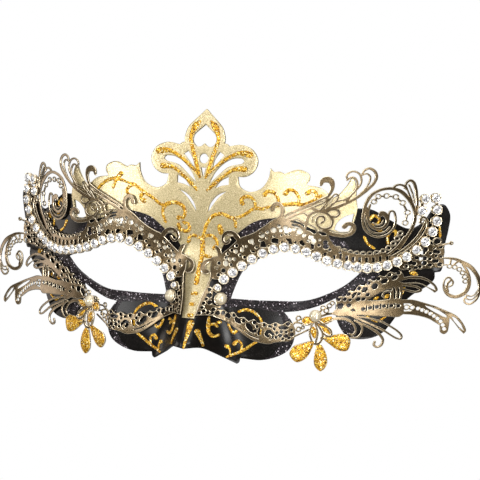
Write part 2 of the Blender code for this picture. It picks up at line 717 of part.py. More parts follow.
def nose_lace_drawing():
    """Pierced lace from the side of the nose to the cheek, with its tie to the cheek rivet."""
    holes = [circle(x, z, r, 4) for (x, z), r in LACE_HOLES] + LACE_SLOTS
    holes.append(circle(NOSE_STUD_AT[0] - 0.1, NOSE_STUD_AT[1] - 0.1, RIVET_HOLE_R, 8))
    drawing = Drawing()
    drawing.area(outline(NOSE_LACE), holes)
    drawing.disc(*NOSE_GEM_AT, 1.7, 8)
    drawing.stroke([(5.8, -2.6), (8.4, -2.8)], 1.6)
    x, z = CHEEK_STUD_AT
    drawing.ring(x, z, 1.75, 1.0, 8)
    drawing.stroke([(40.8, -15.6), (43.6, -13.8), (48.0, -13.2)], 1.0)
    drawing.stroke([(40.9, -19.6), (45.0, -17.6), (48.6, -13.8)], 1.0)
    return drawing


WING_BODY = [
    [(56.4, -5.0), (60.6, -2.6), (64.6, -0.4), (68.2, 2.0), (71.8, 3.8), (75.4, 5.2), (78.4, 5.0)],
    [(78.4, 5.0), (80.4, 2.6)],
    [(80.4, 2.6), (86.0, 2.6), (90.0, 0.4), (92.4, -3.0), (91.4, -3.6)],
    [(91.4, -3.6), (86.4, -1.2), (80.4, 0.0)],
    [(80.4, 0.0), (80.0, -3.0), (80.2, -6.4)],
    [(80.2, -6.4), (88.0, -8.0), (94.0, -10.4), (99.6, -13.4), (103.0, -18.4), (102.6, -20.4)],
    [(102.6, -20.4), (99.0, -16.0), (97.2, -15.0)],
    [(97.2, -15.0), (97.4, -18.4), (96.0, -20.6), (94.4, -18.6), (93.4, -16.4)],
    [(93.4, -16.4), (88.0, -13.4), (80.4, -12.4)],
    [(80.4, -12.4), (72.0, -12.6), (66.6, -12.4)],
    [(66.6, -12.4), (72.0, -14.4), (77.6, -17.2), (81.2, -21.4), (79.6, -22.0)],
    [(79.6, -22.0), (76.0, -19.6), (73.6, -18.8)],
    [(73.6, -18.8), (64.8, -13.6), (61.0, -12.4), (56.6, -12.0)],
    [(56.6, -12.0), (56.0, -10.4), (56.4, -5.0)],
]
WING_HOLES = [((59.0, -8.2), 1.2), ((61.4, -5.4), 0.9), ((63.6, -3.0), 1.2), ((66.8, -1.4), 1.2),
              ((70.4, 0.2), 1.4), ((73.6, 1.8), 1.4), ((76.8, 3.2), 1.2), ((62.6, -9.2), 0.9)]
WING_SLOTS = [
    [(67.6, -5.6), (70.6, -3.4), (76.4, -0.8), (77.4, -3.0), (76.4, -5.6)],
    [(82.0, 1.6), (87.4, 0.6), (87.0, 0.0), (82.0, 0.8)],
    [(68.0, -8.4), (79.6, -7.8), (79.6, -9.4), (68.0, -9.8)],
    [(83.6, -8.4), (90.4, -10.6), (93.6, -13.6), (89.0, -12.2), (83.4, -11.2)],
    [(94.8, -12.0), (98.4, -13.4), (100.6, -16.4), (97.4, -13.8)],
]


def cheek_lift(x, z):
    """The wing's tie climbs one layer where it passes over the end of the nose lace."""
    return PLATE_LIFT + LAYER_STEP * ease((56.0 - x) / 3.0)


def cheek_wing_drawing():
    """Cheek wing: pierced body, long feathers, hooks and the tie to the cheek rivet."""
    holes = [circle(x, z, r, 5) for (x, z), r in WING_HOLES] + WING_SLOTS
    drawing = Drawing()
    drawing.area(outline(WING_BODY), holes)
    drawing.stroke([(62.0, -12.4, 1.2), (65.2, -15.2, 1.2), (66.2, -18.4, 1.0), (64.6, -20.2, 1.0),
                    (63.0, -19.2, 0.9)])
    drawing.stroke([(72.6, -17.4, 1.2), (74.4, -20.4, 1.1), (74.4, -23.6, 1.0), (72.2, -24.6, 1.0),
                    (71.8, -22.8, 0.9)])
    x, z = CHEEK_STUD_AT
    drawing.ring(x, z, 1.75, 1.0, 8)
    drawing.stroke([(51.0, -11.2), (53.2, -8.4), (57.0, -6.6)], 1.0)
    drawing.stroke([(51.2, -12.4), (54.0, -11.4), (57.2, -11.2)], 1.0)
    return drawing


def temple_scroll_drawing():
    """Open scroll with a beaded inner line."""
    drawing = Drawing()
    drawing.stroke([(94.2, 9.9, 1.0), (98.0, 9.2, 1.6), (102.6, 6.4, 1.9), (105.6, 2.4, 1.6),
                    (106.8, -1.6, 1.4), (106.0, -5.8, 1.2), (103.8, -8.2, 1.0), (102.0, -7.0, 0.9),
                    (102.8, -5.2, 0.9)])
    drawing.stroke([(106.0, -2.6, 0.8), (104.9, -5.0, 0.8), (102.9, -5.3, 0.8)])
    drawing.stroke([(100.4, 7.6, 1.2), (102.4, 4.4, 1.2), (103.2, 0.4, 1.4), (102.0, -3.8, 1.6),
                    (98.8, -5.6, 1.6), (95.8, -3.8, 1.3), (94.6, -0.4, 0.9), (95.8, 1.8, 0.9),
                    (97.4, 0.6, 0.9), (96.4, -1.6, 1.0)])
    drawing.stroke([(94.3, 6.9), (96.2, 6.6), (99.2, 5.4), (101.2, 2.4), (102.6, 0.0)], 1.2)
    drawing.stroke([(96.2, 6.8), (97.2, 9.2)], 1.0)
    return drawing


PETALS = [
    [(49.4, -21.8), (45.0, -22.6), (40.6, -24.4), (39.4, -27.4), (41.8, -30.6), (45.2, -29.4), (48.2, -25.6)],
    [(50.8, -23.0), (49.7, -27.0), (49.7, -31.6), (52.2, -34.2), (54.5, -31.4), (54.2, -27.0), (52.0, -23.0)],
    [(53.0, -20.6), (56.6, -19.4), (61.0, -19.2), (62.9, -21.4), (61.8, -25.6), (59.4, -25.8), (55.6, -23.4)],
    [(48.6, -14.8), (46.0, -15.8), (43.6, -14.6), (44.4, -12.6), (46.6, -12.4), (48.2, -13.6)],
    [(50.8, -13.9), (53.0, -12.6), (55.8, -12.3), (55.4, -13.8), (52.8, -15.0)],
]


def flower_drawing():
    """Five petals on a metal knot that hangs from the cheek rivet."""
    drawing = Drawing()
    for petal in PETALS:
        drawing.area(thin_out(smooth_loop(petal)))
    x, z = CHEEK_STUD_AT
    drawing.ring(x, z, 1.75, 1.0, 8)
    drawing.stroke([(49.4, -13.6), (50.2, -15.6)], 1.6)
    drawing.stroke([(50.2, -15.0), (47.9, -18.0), (48.3, -21.2), (50.4, -23.0), (52.6, -21.4), (52.6, -18.0),
                    (50.2, -15.0)], 1.3)
    drawing.stroke([(50.4, -15.4, 1.0), (53.6, -16.6, 1.6), (55.4, -19.8, 1.2)])
    drawing.stroke([(50.2, -15.4), (50.2, -22.6)], 1.1)
    return drawing


# ---------------------------------------------------------------- stones and rivets

def stone_places():
    """Centres of the stones of one row and of the two inside its upper end, with the line's normal.

    The stone line gives every second stone; the others sit half way along the curve between them.
    """
    line = smooth(STONE_LINE, 2)
    out = []
    for i, (x, z) in enumerate(line):
        a = line[max(i - 1, 0)]
        b = line[min(i + 1, len(line) - 1)]
        out.append((x, z, -(b[1] - a[1]) / span(a, b), (b[0] - a[0]) / span(a, b)))
    return out + [(x, z, 1.0, 0.0) for x, z in INNER_STONES]


def stone_row_drawing(places):
    """Six-sided stones joined flat to flat by their cups, each with a table inside its girdle."""
    drawing = Drawing()
    rims = []
    for x, z, nx, nz in places:
        turn = math.degrees(math.atan2(nz, nx))
        rims.append(circle(x, z, STONE_R, 6, turn))
        drawing.area(rims[-1])
        drawing.area(circle(x, z, STONE_TABLE_R, 6, turn))
    for a, b in zip(rims, rims[1:STONES_PER_ROW]):
        drawing.area([a[4], a[5], b[1], b[2]])
    for a, b in zip(places[STONES_PER_ROW - 1:], places[STONES_PER_ROW:]):
        drawing.stroke([between(a, b, 0.36)[:2], between(a, b, 0.64)[:2]], 1.0, raw=True)
    return drawing


def raise_tables(obj, places):
    """Lift the table corners of every stone so the stones get sloping crowns."""
    for vert in obj.data.vertices:
        for x, z, _, _ in places:
            centre = on_face(x, z, STONE_LIFT)
            normal = outward(x, z)
            off = vert.co - centre
            height = off.dot(normal)
            reach = (off - normal * height).length
            if height > -0.4 * MM and reach < (STONE_TABLE_R + 0.25) * MM:
                vert.co += normal * STONE_CROWN * MM
                break


def revolved(name, place, profile, steps, spec, home):
    """Screw a profile of (radius, height) about the face normal at a place."""
    mesh = bpy.data.meshes.new(name)
    build = bmesh.new()
    verts = [build.verts.new((r * MM, 0.0, h * MM)) for r, h in profile]
    for a, b in zip(verts, verts[1:]):
        build.edges.new((a, b))
    build.to_mesh(mesh)
    build.free()
    obj = new_object(name, mesh, spec, home)
    screw = obj.modifiers.new("turn", "SCREW")
    screw.axis = "Z"
    screw.steps = steps
    screw.render_steps = steps
    screw.use_merge_vertices = True
    screw.merge_threshold = 0.00001
    applied(obj)
    turn = outward(*place).to_track_quat("Z", "Y").to_matrix().to_4x4()
    turn.translation = on_face(place[0], place[1], 0.0)
    obj.data.transform(turn)
    face_out(obj)
    return obj


def face_out(obj):
    """Make a closed body's faces point outwards."""
    build = bmesh.new()
    build.from_mesh(obj.data)
    bmesh.ops.remove_doubles(build, verts=build.verts, dist=0.00001)
    bmesh.ops.recalc_face_normals(build, faces=build.faces)
    if build.calc_volume(signed=True) < 0.0:
        bmesh.ops.reverse_faces(build, faces=build.faces)
    build.to_mesh(obj.data)
    build.free()


def dome_profile(seat, r, rise):
    """Upper outline of a domed head from its pole to its rim."""
    out = []
    for deg in (90, 58, 28):
        angle = math.radians(deg)
        out.append((r * math.cos(angle) if deg < 90 else 0.0, seat + 0.35 + rise * math.sin(angle)))
    return out + [(r, seat)]


def stud_profile(seat, back):
    """Rivet: dome, shank and the formed head behind."""
    return dome_profile(seat, STUD_R, STUD_DOME) + [(SHANK_R, seat), (SHANK_R, back), (HEAD_R, back),
                                                    (HEAD_R - 0.3, back - HEAD_THICK), (0.0, back - HEAD_THICK)]


def gem_profile(seat):
    """Single stone in its cup."""
    r = NOSE_GEM_R
    return [(0.0, seat + 1.5), (0.6 * r, seat + 1.5), (r, seat + 0.8), (r, seat), (0.0, seat)]


# ---------------------------------------------------------------- assembly

def build():
    """Make every node."""
    clear_scene()
    home = bpy.data.collections.new("venetian_mask")
    bpy.context.scene.collection.children.link(home)
    plate("mask_shell", shell_drawing(), SHELL, home, SHELL_THICK, 0.0)
    pieces = [
        ("brow_filigree", brow_drawing(), GOLD, PLATE_LIFT),
        ("nose_lace", nose_lace_drawing(), GOLD, PLATE_LIFT),
        ("cheek_wing", cheek_wing_drawing(), GOLD, cheek_lift),
        ("temple_scroll", temple_scroll_drawing(), GOLD, PLATE_LIFT),
        ("glitter_flower", flower_drawing(), GLITTER, PLATE_LIFT + 2.0 * LAYER_STEP),
    ]
    for stem, drawing, spec, lift in pieces:
        both_sides(plate(stem, drawing, spec, home, PLATE_THICK, lift), stem, spec, home)
    places = stone_places()
    row = plate("row", stone_row_drawing(places), CRYSTAL, home, STONE_BASE_THICK, STONE_LIFT)
    raise_tables(row, places)
    both_sides(row, "rhinestone_row", CRYSTAL, home)
    seat = PLATE_LIFT + 0.55
    nose = revolved("stud", NOSE_STUD_AT, stud_profile(seat, -SHELL_THICK - 0.4), 10, PEARL, home)
    both_sides(nose, "nose_stud", PEARL, home)
    seat = PLATE_LIFT + 2.0 * LAYER_STEP + 0.7
    cheek = revolved("stud", CHEEK_STUD_AT, stud_profile(seat, PLATE_LIFT - PLATE_THICK - 0.4), 10, PEARL, home)
    both_sides(cheek, "cheek_stud", PEARL, home)
    gem = revolved("gem", NOSE_GEM_AT, gem_profile(PLATE_LIFT + 0.4), 10, CRYSTAL, home)
    both_sides(gem, "nose_gem", CRYSTAL, home)


build()
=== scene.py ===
"""Looks of a Venetian half mask: painted shell, glitter scrolls, pierced plates, stones, studs.

Every piece is drawn flat in millimetres (x to the viewer's right, z up) and laid on the face
surface. Front is -Y. The +X side is built first and mirrored where both sides match.
"""
import math

import bmesh
import bpy
import numpy as np
from mathutils import Matrix, Vector, geometry


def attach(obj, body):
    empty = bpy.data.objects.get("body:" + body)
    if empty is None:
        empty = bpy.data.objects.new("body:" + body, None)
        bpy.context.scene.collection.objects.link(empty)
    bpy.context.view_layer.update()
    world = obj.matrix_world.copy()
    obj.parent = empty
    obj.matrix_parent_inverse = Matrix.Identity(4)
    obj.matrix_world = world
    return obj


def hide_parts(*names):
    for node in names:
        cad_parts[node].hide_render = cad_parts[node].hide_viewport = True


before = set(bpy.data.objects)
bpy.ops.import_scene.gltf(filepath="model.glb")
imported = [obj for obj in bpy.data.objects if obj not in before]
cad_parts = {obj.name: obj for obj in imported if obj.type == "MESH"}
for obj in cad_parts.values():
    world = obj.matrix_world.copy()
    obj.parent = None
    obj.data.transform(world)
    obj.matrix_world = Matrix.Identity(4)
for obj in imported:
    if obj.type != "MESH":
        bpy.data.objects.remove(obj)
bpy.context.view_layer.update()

MM = 0.001
WELD = 0.01
WELD_M = 0.00002
CORNER_PULL = 0.00003
PULL_ROUNDS = 3
STROKE_TOL = 0.05
OUTLINE_TOL = 0.04
ROW_RISE = 0.866

# Face surface, millimetres.
WRAP_K = 4.4e-5
WRAP_LIMIT = 75.0
WRAP_SLOPE = 3.0 * WRAP_K * WRAP_LIMIT ** 2
BASE_DEPTH = 4.5
BEND_Z = 15.0
CREST_LEAN = 0.0018
CHIN_DROP = 5.7
CHIN_SPAN = 40.0
NOSE_OUT = 17.0
NOSE_TOP = 18.0
NOSE_SPAN = 52.0
NOSE_HALF = 8.0
NOSE_WIDER = 3.0
NOSE_WIDER_FROM = -10.0
NOSE_WIDER_SPAN = 20.0
CHEEK_FALL = 3.0
CHEEK_FROM = (36.0, 6.0)
CHEEK_SPAN = 14.0
CHEEK_FADE = 0.6
CHEEK_FADE_FROM = 62.0
CHEEK_FADE_SPAN = 20.0
FALL_PULL = (0.37, 0.17)
SLOT_AT = (86.3, 13.0)
SLOT_WIDE = 1.6
SLOT_TALL = 11.0
LAND_HALF = (4.0, 6.8)
LAND_FADE = 3.0
FLARE_FROM = 90.5
FLARE_SPAN = 16.5
FLARE_FORWARD = 3.6
FLARE_OUT = 1.35

# Layers above the face surface, millimetres.
SHELL_THICK = 1.2
PLATE_LIFT = 1.3
PLATE_THICK = 0.5
LAYER_STEP = 1.0
FLOWER_LIFT = 3.3
STONE_SEAT = 1.9
STONE_R = 1.88
CUP_R = 2.18
RIDGE_HIGH = 0.6
RIDGE_HALF = 1.8


# ---------------------------------------------------------------- point lists

def grouped(values, size):
    """Tuples of a size from a flat run of numbers."""
    return [tuple(map(float, values[i:i + size])) for i in range(0, len(values), size)]


def pairs(*values):
    """Points from x, z, x, z and so on."""
    return grouped(values, 2)


def triples(*values):
    """Points with a third value each, a width or a radius."""
    return grouped(values, 3)


def wire(width, *values):
    """Stroke of one width along points."""
    return width, pairs(*values)


def brush(*values):
    """Stroke whose points carry their own widths."""
    return None, triples(*values)


def joined(first, *more):
    """Runs of an outline, each starting at the corner where the one before ends."""
    runs = [first]
    for run in more:
        runs.append([runs[-1][-1]] + run)
    return runs


# ---------------------------------------------------------------- surface

def ease(t):
    """Smooth step from 0 to 1."""
    t = np.clip(t, 0.0, 1.0)
    return t * t * (3.0 - 2.0 * t)


def free_depth(x, z):
    """Depth of the face surface without the flat ribbon lands."""
    side = np.abs(x)
    inner = WRAP_K * side ** 3
    outer = WRAP_K * WRAP_LIMIT ** 3 + WRAP_SLOPE * (side - WRAP_LIMIT)
    wrap = np.where(side < WRAP_LIMIT, inner, outer)
    base = (BASE_DEPTH + CREST_LEAN * np.maximum(z - BEND_Z, 0.0) ** 2
            - CHIN_DROP * ease((BEND_Z - z) / CHIN_SPAN))
    half = NOSE_HALF + NOSE_WIDER * ease((NOSE_WIDER_FROM - z) / NOSE_WIDER_SPAN)
    return base + wrap - NOSE_OUT * ease((NOSE_TOP - z) / NOSE_SPAN) * np.exp(-(x / half) ** 2)


def depth(x, z):
    """Depth of the face surface: a wrapped brow, a nose ridge and two flat lands."""
    over_x = np.maximum(np.abs(np.abs(x) - SLOT_AT[0]) - LAND_HALF[0], 0.0)
    over_z = np.maximum(np.abs(z - SLOT_AT[1]) - LAND_HALF[1], 0.0)
    flat = 1.0 - ease(np.hypot(over_x, over_z) / LAND_FADE)
    land = free_depth(*SLOT_AT) + WRAP_SLOPE * (np.abs(x) - SLOT_AT[0])
    return flat * land + (1.0 - flat) * free_depth(x, z)


def face_point(x, z):
    """Points of the face surface for places on the drawing, millimetres."""
    side = np.abs(x)
    outer = 1.0 - CHEEK_FADE * ease((side - CHEEK_FADE_FROM) / CHEEK_FADE_SPAN)
    fall = (CHEEK_FALL * ease((side - CHEEK_FROM[0]) / CHEEK_SPAN)
            * ease((CHEEK_FROM[1] - z) / CHEEK_SPAN) * outer)
    flare = ease((side - FLARE_FROM) / FLARE_SPAN)
    px = x - np.copysign(FALL_PULL[0] * fall, x)
    pz = z - FALL_PULL[1] * fall
    out = np.copysign(FLARE_OUT * flare, x)
    return np.stack([px + out, depth(px, pz) + fall - FLARE_FORWARD * flare, pz], axis=-1)


def outward(x, z):
    """Unit normals of the face surface, pointing to the front."""
    step = 0.05
    along_x = face_point(x + step, z) - face_point(x - step, z)
    along_z = face_point(x, z + step) - face_point(x, z - step)
    normal = np.cross(along_x, along_z)
    return normal / np.linalg.norm(normal, axis=-1, keepdims=True)


def on_face(x, z, lift):
    """Points at heights above the face surface, in metres."""
    x = np.asarray(x, float)
    z = np.asarray(z, float)
    lift = np.broadcast_to(np.asarray(lift, float), x.shape)
    return (face_point(x, z) + outward(x, z) * lift[..., None]) * MM


# ---------------------------------------------------------------- flat drawing

def between(a, b, t):
    """Point a share t of the way from a to b."""
    return tuple(p + (q - p) * t for p, q in zip(a, b))


def span(a, b):
    """Flat distance, with a floor that keeps divisions safe."""
    return max(math.hypot(b[0] - a[0], b[1] - a[1]), 1e-4)


def spline_piece(p0, p1, p2, p3, steps):
    """Centripetal Catmull-Rom points from p1 up to, not including, p2."""
    t1 = span(p0, p1) ** 0.5
    t2 = t1 + span(p1, p2) ** 0.5
    t3 = t2 + span(p2, p3) ** 0.5
    out = []
    for i in range(steps):
        t = t1 + (t2 - t1) * i / steps
        a1 = between(p0, p1, t / t1)
        a2 = between(p1, p2, (t - t1) / (t2 - t1))
        a3 = between(p2, p3, (t - t2) / (t3 - t2))
        b1 = between(a1, a2, t / t2)
        b2 = between(a2, a3, (t - t1) / (t3 - t1))
        out.append(between(b1, b2, (t - t1) / (t2 - t1)))
    return out


def smooth(points, steps=10):
    """Smooth open line through the points."""
    first = between(points[1], points[0], 2.0)
    last = between(points[-2], points[-1], 2.0)
    walk = [first] + list(points) + [last]
    out = []
    for i in range(len(points) - 1):
        out += spline_piece(walk[i], walk[i + 1], walk[i + 2], walk[i + 3], steps)
    return out + [tuple(points[-1])]


def smooth_loop(points, steps=10):
    """Smooth closed line through the points."""
    count = len(points)
    out = []
    for i in range(count):
        around = [points[(i + k) % count] for k in (-1, 0, 1, 2)]
        out += spline_piece(*around, steps)
    return out


def thin_out(points, tol):
    """Drop points that lie within tol of the chords between the ones kept."""
    if len(points) < 3:
        return list(points)
    a = points[0]
    b = points[-1]
    length = span(a, b)
    worst = 0.0
    index = 0
    for i in range(1, len(points) - 1):
        p = points[i]
        if length < 1e-3:
            off = span(a, p)
        else:
            off = abs((b[0] - a[0]) * (p[1] - a[1]) - (b[1] - a[1]) * (p[0] - a[0])) / length
        if off > worst:
            worst = off
            index = i
    if worst <= tol:
        return [a, b]
    return thin_out(points[:index + 1], tol)[:-1] + thin_out(points[index:], tol)


def fair(points):
    """Smooth open line with no more points than it needs."""
    return thin_out(smooth(points), OUTLINE_TOL)


def fair_loop(points):
    """Smooth closed line with no more points than it needs."""
    return thin_out(smooth_loop(points), OUTLINE_TOL)


def outline(runs):
    """Closed outline from smooth runs that meet at corners."""
    return [p for run in runs for p in fair(run)[:-1]]


def circle(x, z, r, sides=12, deg=0.0):
    """Regular polygon, counter-clockwise, with its first corner at an angle."""
    first = math.radians(deg)
    turn = 2.0 * math.pi / sides
    return [(x + r * math.cos(first + turn * i), z + r * math.sin(first + turn * i))
            for i in range(sides)]


def round_holes(places, grow, sides=10):
    """Polygons for (x, z, radius) places, all grown by the same amount."""
    return [circle(x, z, r + grow, sides) for x, z, r in places]


def even_places(points, count, stop=1.0):
    """Evenly spaced places on a smooth line, each with its unit left normal."""
    line = smooth(points)
    reach = [0.0]
    for a, b in zip(line, line[1:]):
        reach.append(reach[-1] + span(a, b))
    out = []
    for k in range(count):
        goal = stop * k / max(count - 1, 1) * reach[-1]
        i = 0
        while i < len(line) - 2 and reach[i + 1] < goal:
            i += 1
        a = line[i]
        b = line[i + 1]
        x, z = between(a, b, (goal - reach[i]) / (reach[i + 1] - reach[i]))
        out.append((x, z, -(b[1] - a[1]) / span(a, b), (b[0] - a[0]) / span(a, b)))
    return out


def beside(places, reach):
    """Points at a distance to the left of places that carry their normals."""
    return [(x + nx * reach, z + nz * reach) for x, z, nx, nz in places]


def flat_points(loop):
    """Only the x and z of points."""
    return [(p[0], p[1]) for p in loop]


def flipped(loop):
    """Mirror a flat loop to the other side."""
    return [(-p[0], p[1]) for p in reversed(loop)]


def inside(places, loop):
    """Which of the places are inside a closed loop."""
    x = places[:, 0][:, None]
    z = places[:, 1][:, None]
    a = np.array(loop)
    b = np.roll(a, -1, axis=0)
    rise = b[:, 1] - a[:, 1]
    rise = np.where(rise == 0.0, 1e-12, rise)
    across = a[:, 0] + (b[:, 0] - a[:, 0]) * (z - a[:, 1]) / rise
    crossed = ((a[:, 1] > z) != (b[:, 1] > z)) & (x < across)
    return crossed.sum(axis=1) % 2 == 1


class Drawing:
    """Areas and paint zones laid over each other, turned into one triangulated sheet."""

    def __init__(self):
        self.areas = []
        self.zones = []
        self.grid = []

    def area(self, loop, holes=()):
        """Add an outline with holes cut from it alone."""
        self.areas.append((flat_points(loop), [flat_points(hole) for hole in holes]))

    def zone(self, loop, index):
        """Give every triangle inside a loop a material; a later zone lies over an earlier one."""
        self.zones.append((flat_points(loop), index))

    def stroke(self, points, width=None, closed=False):
        """Add a smooth round-ended band, or a closed one with corners as they are.

        The third value of a point is its width.
        """
        if width is not None:
            points = [(p[0], p[1], width) for p in points]
        line = list(points) if closed else thin_out(smooth(points), STROKE_TOL)
        sides = []
        for i, p in enumerate(line):
            a = line[i - 1] if i else (line[-2] if closed else p)
            b = line[i + 1] if i < len(line) - 1 else (line[1] if closed else p)
            nx = -(b[1] - a[1]) / span(a, b)
            nz = (b[0] - a[0]) / span(a, b)
            half = p[2] / 2.0
            sides.append(((p[0] + nx * half, p[1] + nz * half),
                          (p[0] - nx * half, p[1] - nz * half)))
        if closed:
            sides[-1] = sides[0]
        for (a, b), (c, d) in zip(sides, sides[1:]):
            self.area([a, b, d, c])
        if not closed:
            for p in (line[0], line[-1]):
                self.area(circle(p[0], p[1], p[2] / 2.0, 8))

    def strokes(self, lines):
        """Add many bands: (width, points) each, with width None where the points carry it."""
        for width, points in lines:
            self.stroke(points, width)

    def ring(self, x, z, r, width, sides=14):
        """Add a ring of a mean radius."""
        loop = [(px, pz, width) for px, pz in circle(x, z, r, sides)]
        self.stroke(loop + [loop[0]], closed=True)

    def rings(self, places, r, width):
        """Add a ring of one size at each place."""
        for place in places:
            self.ring(place[0], place[1], r, width, 12)

    def loose_rings(self, places):
        """Add a ring at each (x, z, mean radius)."""
        for x, z, r in places:
            self.ring(x, z, r, LOOSE_RING_WIDTH)

    def loops(self):
        """Every outline, hole and zone."""
        out = []
        for loop, holes in self.areas:
            out.append(loop)
            out += holes
        return out + [loop for loop, _ in self.zones]

    def fill_grid(self, pitch, margin):
        """Add free points in staggered rows that let a wide area follow the curve of the face."""
        loops = self.loops()
        starts = np.array([p for loop in loops for p in loop])
        ends = np.array([p for loop in loops for p in loop[1:] + loop[:1]])
        low = starts.min(axis=0)
        high = starts.max(axis=0)
        along = ends - starts
        size = np.maximum((along ** 2).sum(axis=1), 1e-9)
        z = low[1]
        row = 0
        while z < high[1]:
            for x in np.arange(low[0] + (row % 2) * pitch / 2.0, high[0], pitch):
                off = np.array([x, z]) - starts
                t = np.clip((off * along).sum(axis=1) / size, 0.0, 1.0)
                gap = off - along * t[:, None]
                if (gap ** 2).sum(axis=1).min() > margin ** 2:
                    self.grid.append((float(x), float(z)))
            z += pitch * ROW_RISE
            row += 1

    def covered(self, centres):
        """Which triangles, by their centres, are part of the sheet."""
        hit = np.zeros(len(centres), bool)
        for loop, holes in self.areas:
            corner = np.array(loop)
            low = corner.min(axis=0)
            high = corner.max(axis=0)
            near = ~hit & (centres >= low).all(axis=1) & (centres <= high).all(axis=1)
            index = np.nonzero(near)[0]
            if len(index) == 0:
                continue
            held = inside(centres[index], loop)
            for hole in holes:
                held &= ~inside(centres[index], hole)
            hit[index[held]] = True
        return hit

    def sheet(self):
        """Flat bmesh of every covered triangle, with its paint zone as its material."""
        points = []
        edges = []
        for loop in self.loops():
            first = len(points)
            count = len(loop)
            points += [Vector(p) for p in loop]
            edges += [(first + i, first + (i + 1) % count) for i in range(count)]
        points += [Vector(p) for p in self.grid]
        result = geometry.delaunay_2d_cdt(points, edges, [], 0, WELD, False)
        place = np.array([(p[0], p[1]) for p in result[0]])
        tris = np.array(result[2])
        centres = place[tris].mean(axis=1)
        kept = self.covered(centres)
        paint = np.zeros(len(tris), int)
        for loop, index in self.zones:
            paint[inside(centres, loop)] = index
        flat = bmesh.new()
        verts = [flat.verts.new((p[0] * MM, 0.0, p[1] * MM)) for p in place]
        for tri, index in zip(tris[kept], paint[kept]):
            flat.faces.new([verts[i] for i in reversed(tri)]).material_index = int(index)
        tidy_flat(flat)
        return flat


def fans_at(vert):
    """Groups of faces round a vertex that are joined by shared edges."""
    left = set(vert.link_faces)
    fans = []
    while left:
        todo = [left.pop()]
        fan = set(todo)
        while todo:
            face = todo.pop()
            for edge in face.edges:
                if vert in edge.verts:
                    for other in edge.link_faces:
                        if other in left:
                            left.discard(other)
                            fan.add(other)
                            todo.append(other)
        fans.append(sorted(fan, key=lambda f: tuple(f.calc_center_median())))
    return sorted(fans, key=lambda group: tuple(group[0].calc_center_median()))


def tidy_flat(flat):
    """Weld slivers, remove loose points and open every corner where two areas only touch."""
    bmesh.ops.remove_doubles(flat, verts=flat.verts, dist=WELD_M)
    bmesh.ops.dissolve_degenerate(flat, edges=flat.edges, dist=WELD_M / 2.0)
    bmesh.ops.triangulate(flat, faces=flat.faces)
    loose = [v for v in flat.verts if not v.link_faces]
    bmesh.ops.delete(flat, geom=loose, context="VERTS")
    for _ in range(PULL_ROUNDS):
        pinched = [v for v in flat.verts if len(v.link_faces) > 1
                   and any(e.is_boundary for e in v.link_edges) and len(fans_at(v)) > 1]
        if not pinched:
            break
        for vert in pinched:
            for fan in fans_at(vert)[1:]:
                close_corner(flat, vert, fan)
    bmesh.ops.recalc_face_normals(flat, faces=flat.faces)
    if flat.faces and sum(f.normal.y * f.calc_area() for f in flat.faces) > 0.0:
        bmesh.ops.reverse_faces(flat, faces=flat.faces)


def close_corner(flat, vert, fan):
    """Give one fan of faces its own corner, drawn back a little from the shared one."""
    middle = Vector()
    for face in fan:
        middle += face.calc_center_median()
    middle /= len(fan)
    twin = flat.verts.new(vert.co + (middle - vert.co).normalized() * CORNER_PULL)
    for face in fan:
        loop = [twin if v is vert else v for v in face.verts]
        index = face.material_index
        flat.faces.remove(face)
        flat.faces.new(loop).material_index = index


def cut_rims(flat, start, rims):
    """Cut strips (width, height, material or None) along every edge; returns the height layer."""
    layer = flat.verts.layers.float.new("height")
    for vert in flat.verts:
        vert[layer] = start
    faces = list(flat.faces)
    for width, height, index in rims:
        made = bmesh.ops.inset_region(flat, faces=faces, use_boundary=True, use_even_offset=False,
                                      thickness=width * MM)
        strip = set(made["faces"])
        for face in strip:
            if index is not None:
                face.material_index = index
                continue
            for edge in face.edges:
                for other in edge.link_faces:
                    if other not in strip:
                        face.material_index = other.material_index
        for face in faces:
            for vert in face.verts:
                vert[layer] = height
    return layer


# ---------------------------------------------------------------- objects

def shown(name, data):
    """New object in the scene."""
    obj = bpy.data.objects.new(name, data)
    bpy.context.scene.collection.objects.link(obj)
    return obj


def new_piece(name, verts, faces, paint, mats, sharp_deg=38.0):
    """Mesh object from corners in metres and a material index per face, with sharp edges kept."""
    mesh = bpy.data.meshes.new(name)
    mesh.from_pydata([tuple(v) for v in verts], [], faces)
    for mat in mats:
        mesh.materials.append(mat)
    mesh.polygons.foreach_set("material_index", paint)
    mesh.validate()
    mesh.shade_smooth()
    mesh.set_sharp_from_angle(angle=math.radians(sharp_deg))
    return shown(name, mesh)


def lay(name, drawing, mats, lift, thick, start=0.0, rims=(), back=None, edge=None):
    """Lay a drawing on the face as a closed sheet; lift may vary over x and z."""
    flat = drawing.sheet()
    layer = cut_rims(flat, start, rims)
    flat.verts.index_update()
    x = np.array([v.co.x for v in flat.verts]) / MM
    z = np.array([v.co.z for v in flat.verts]) / MM
    height = np.array([v[layer] for v in flat.verts])
    seat = lift(x, z) if callable(lift) else lift
    front = on_face(x, z, seat + height)
    behind = on_face(x, z, seat - thick)
    count = len(x)
    faces = []
    paint = []
    for face in flat.faces:
        loop = [v.index for v in face.verts]
        faces.append(loop)
        paint.append(face.material_index)
        faces.append([i + count for i in reversed(loop)])
        paint.append(face.material_index if back is None else back)
    for rim in flat.edges:
        if rim.is_boundary:
            corner = rim.link_loops[0]
            a = corner.vert.index
            b = corner.link_loop_next.vert.index
            faces.append([b, a, a + count, b + count])
            paint.append(corner.face.material_index if edge is None else edge)
    flat.free()
    return new_piece(name, np.concatenate([front, behind]), faces, paint, mats)


def mirrored(obj, name):
    """Copy of an object flipped to the other side."""
    mesh = obj.data.copy()
    mesh.name = name
    mesh.transform(Matrix.Diagonal((-1.0, 1.0, 1.0, 1.0)))
    mesh.flip_normals()
    return shown(name, mesh)


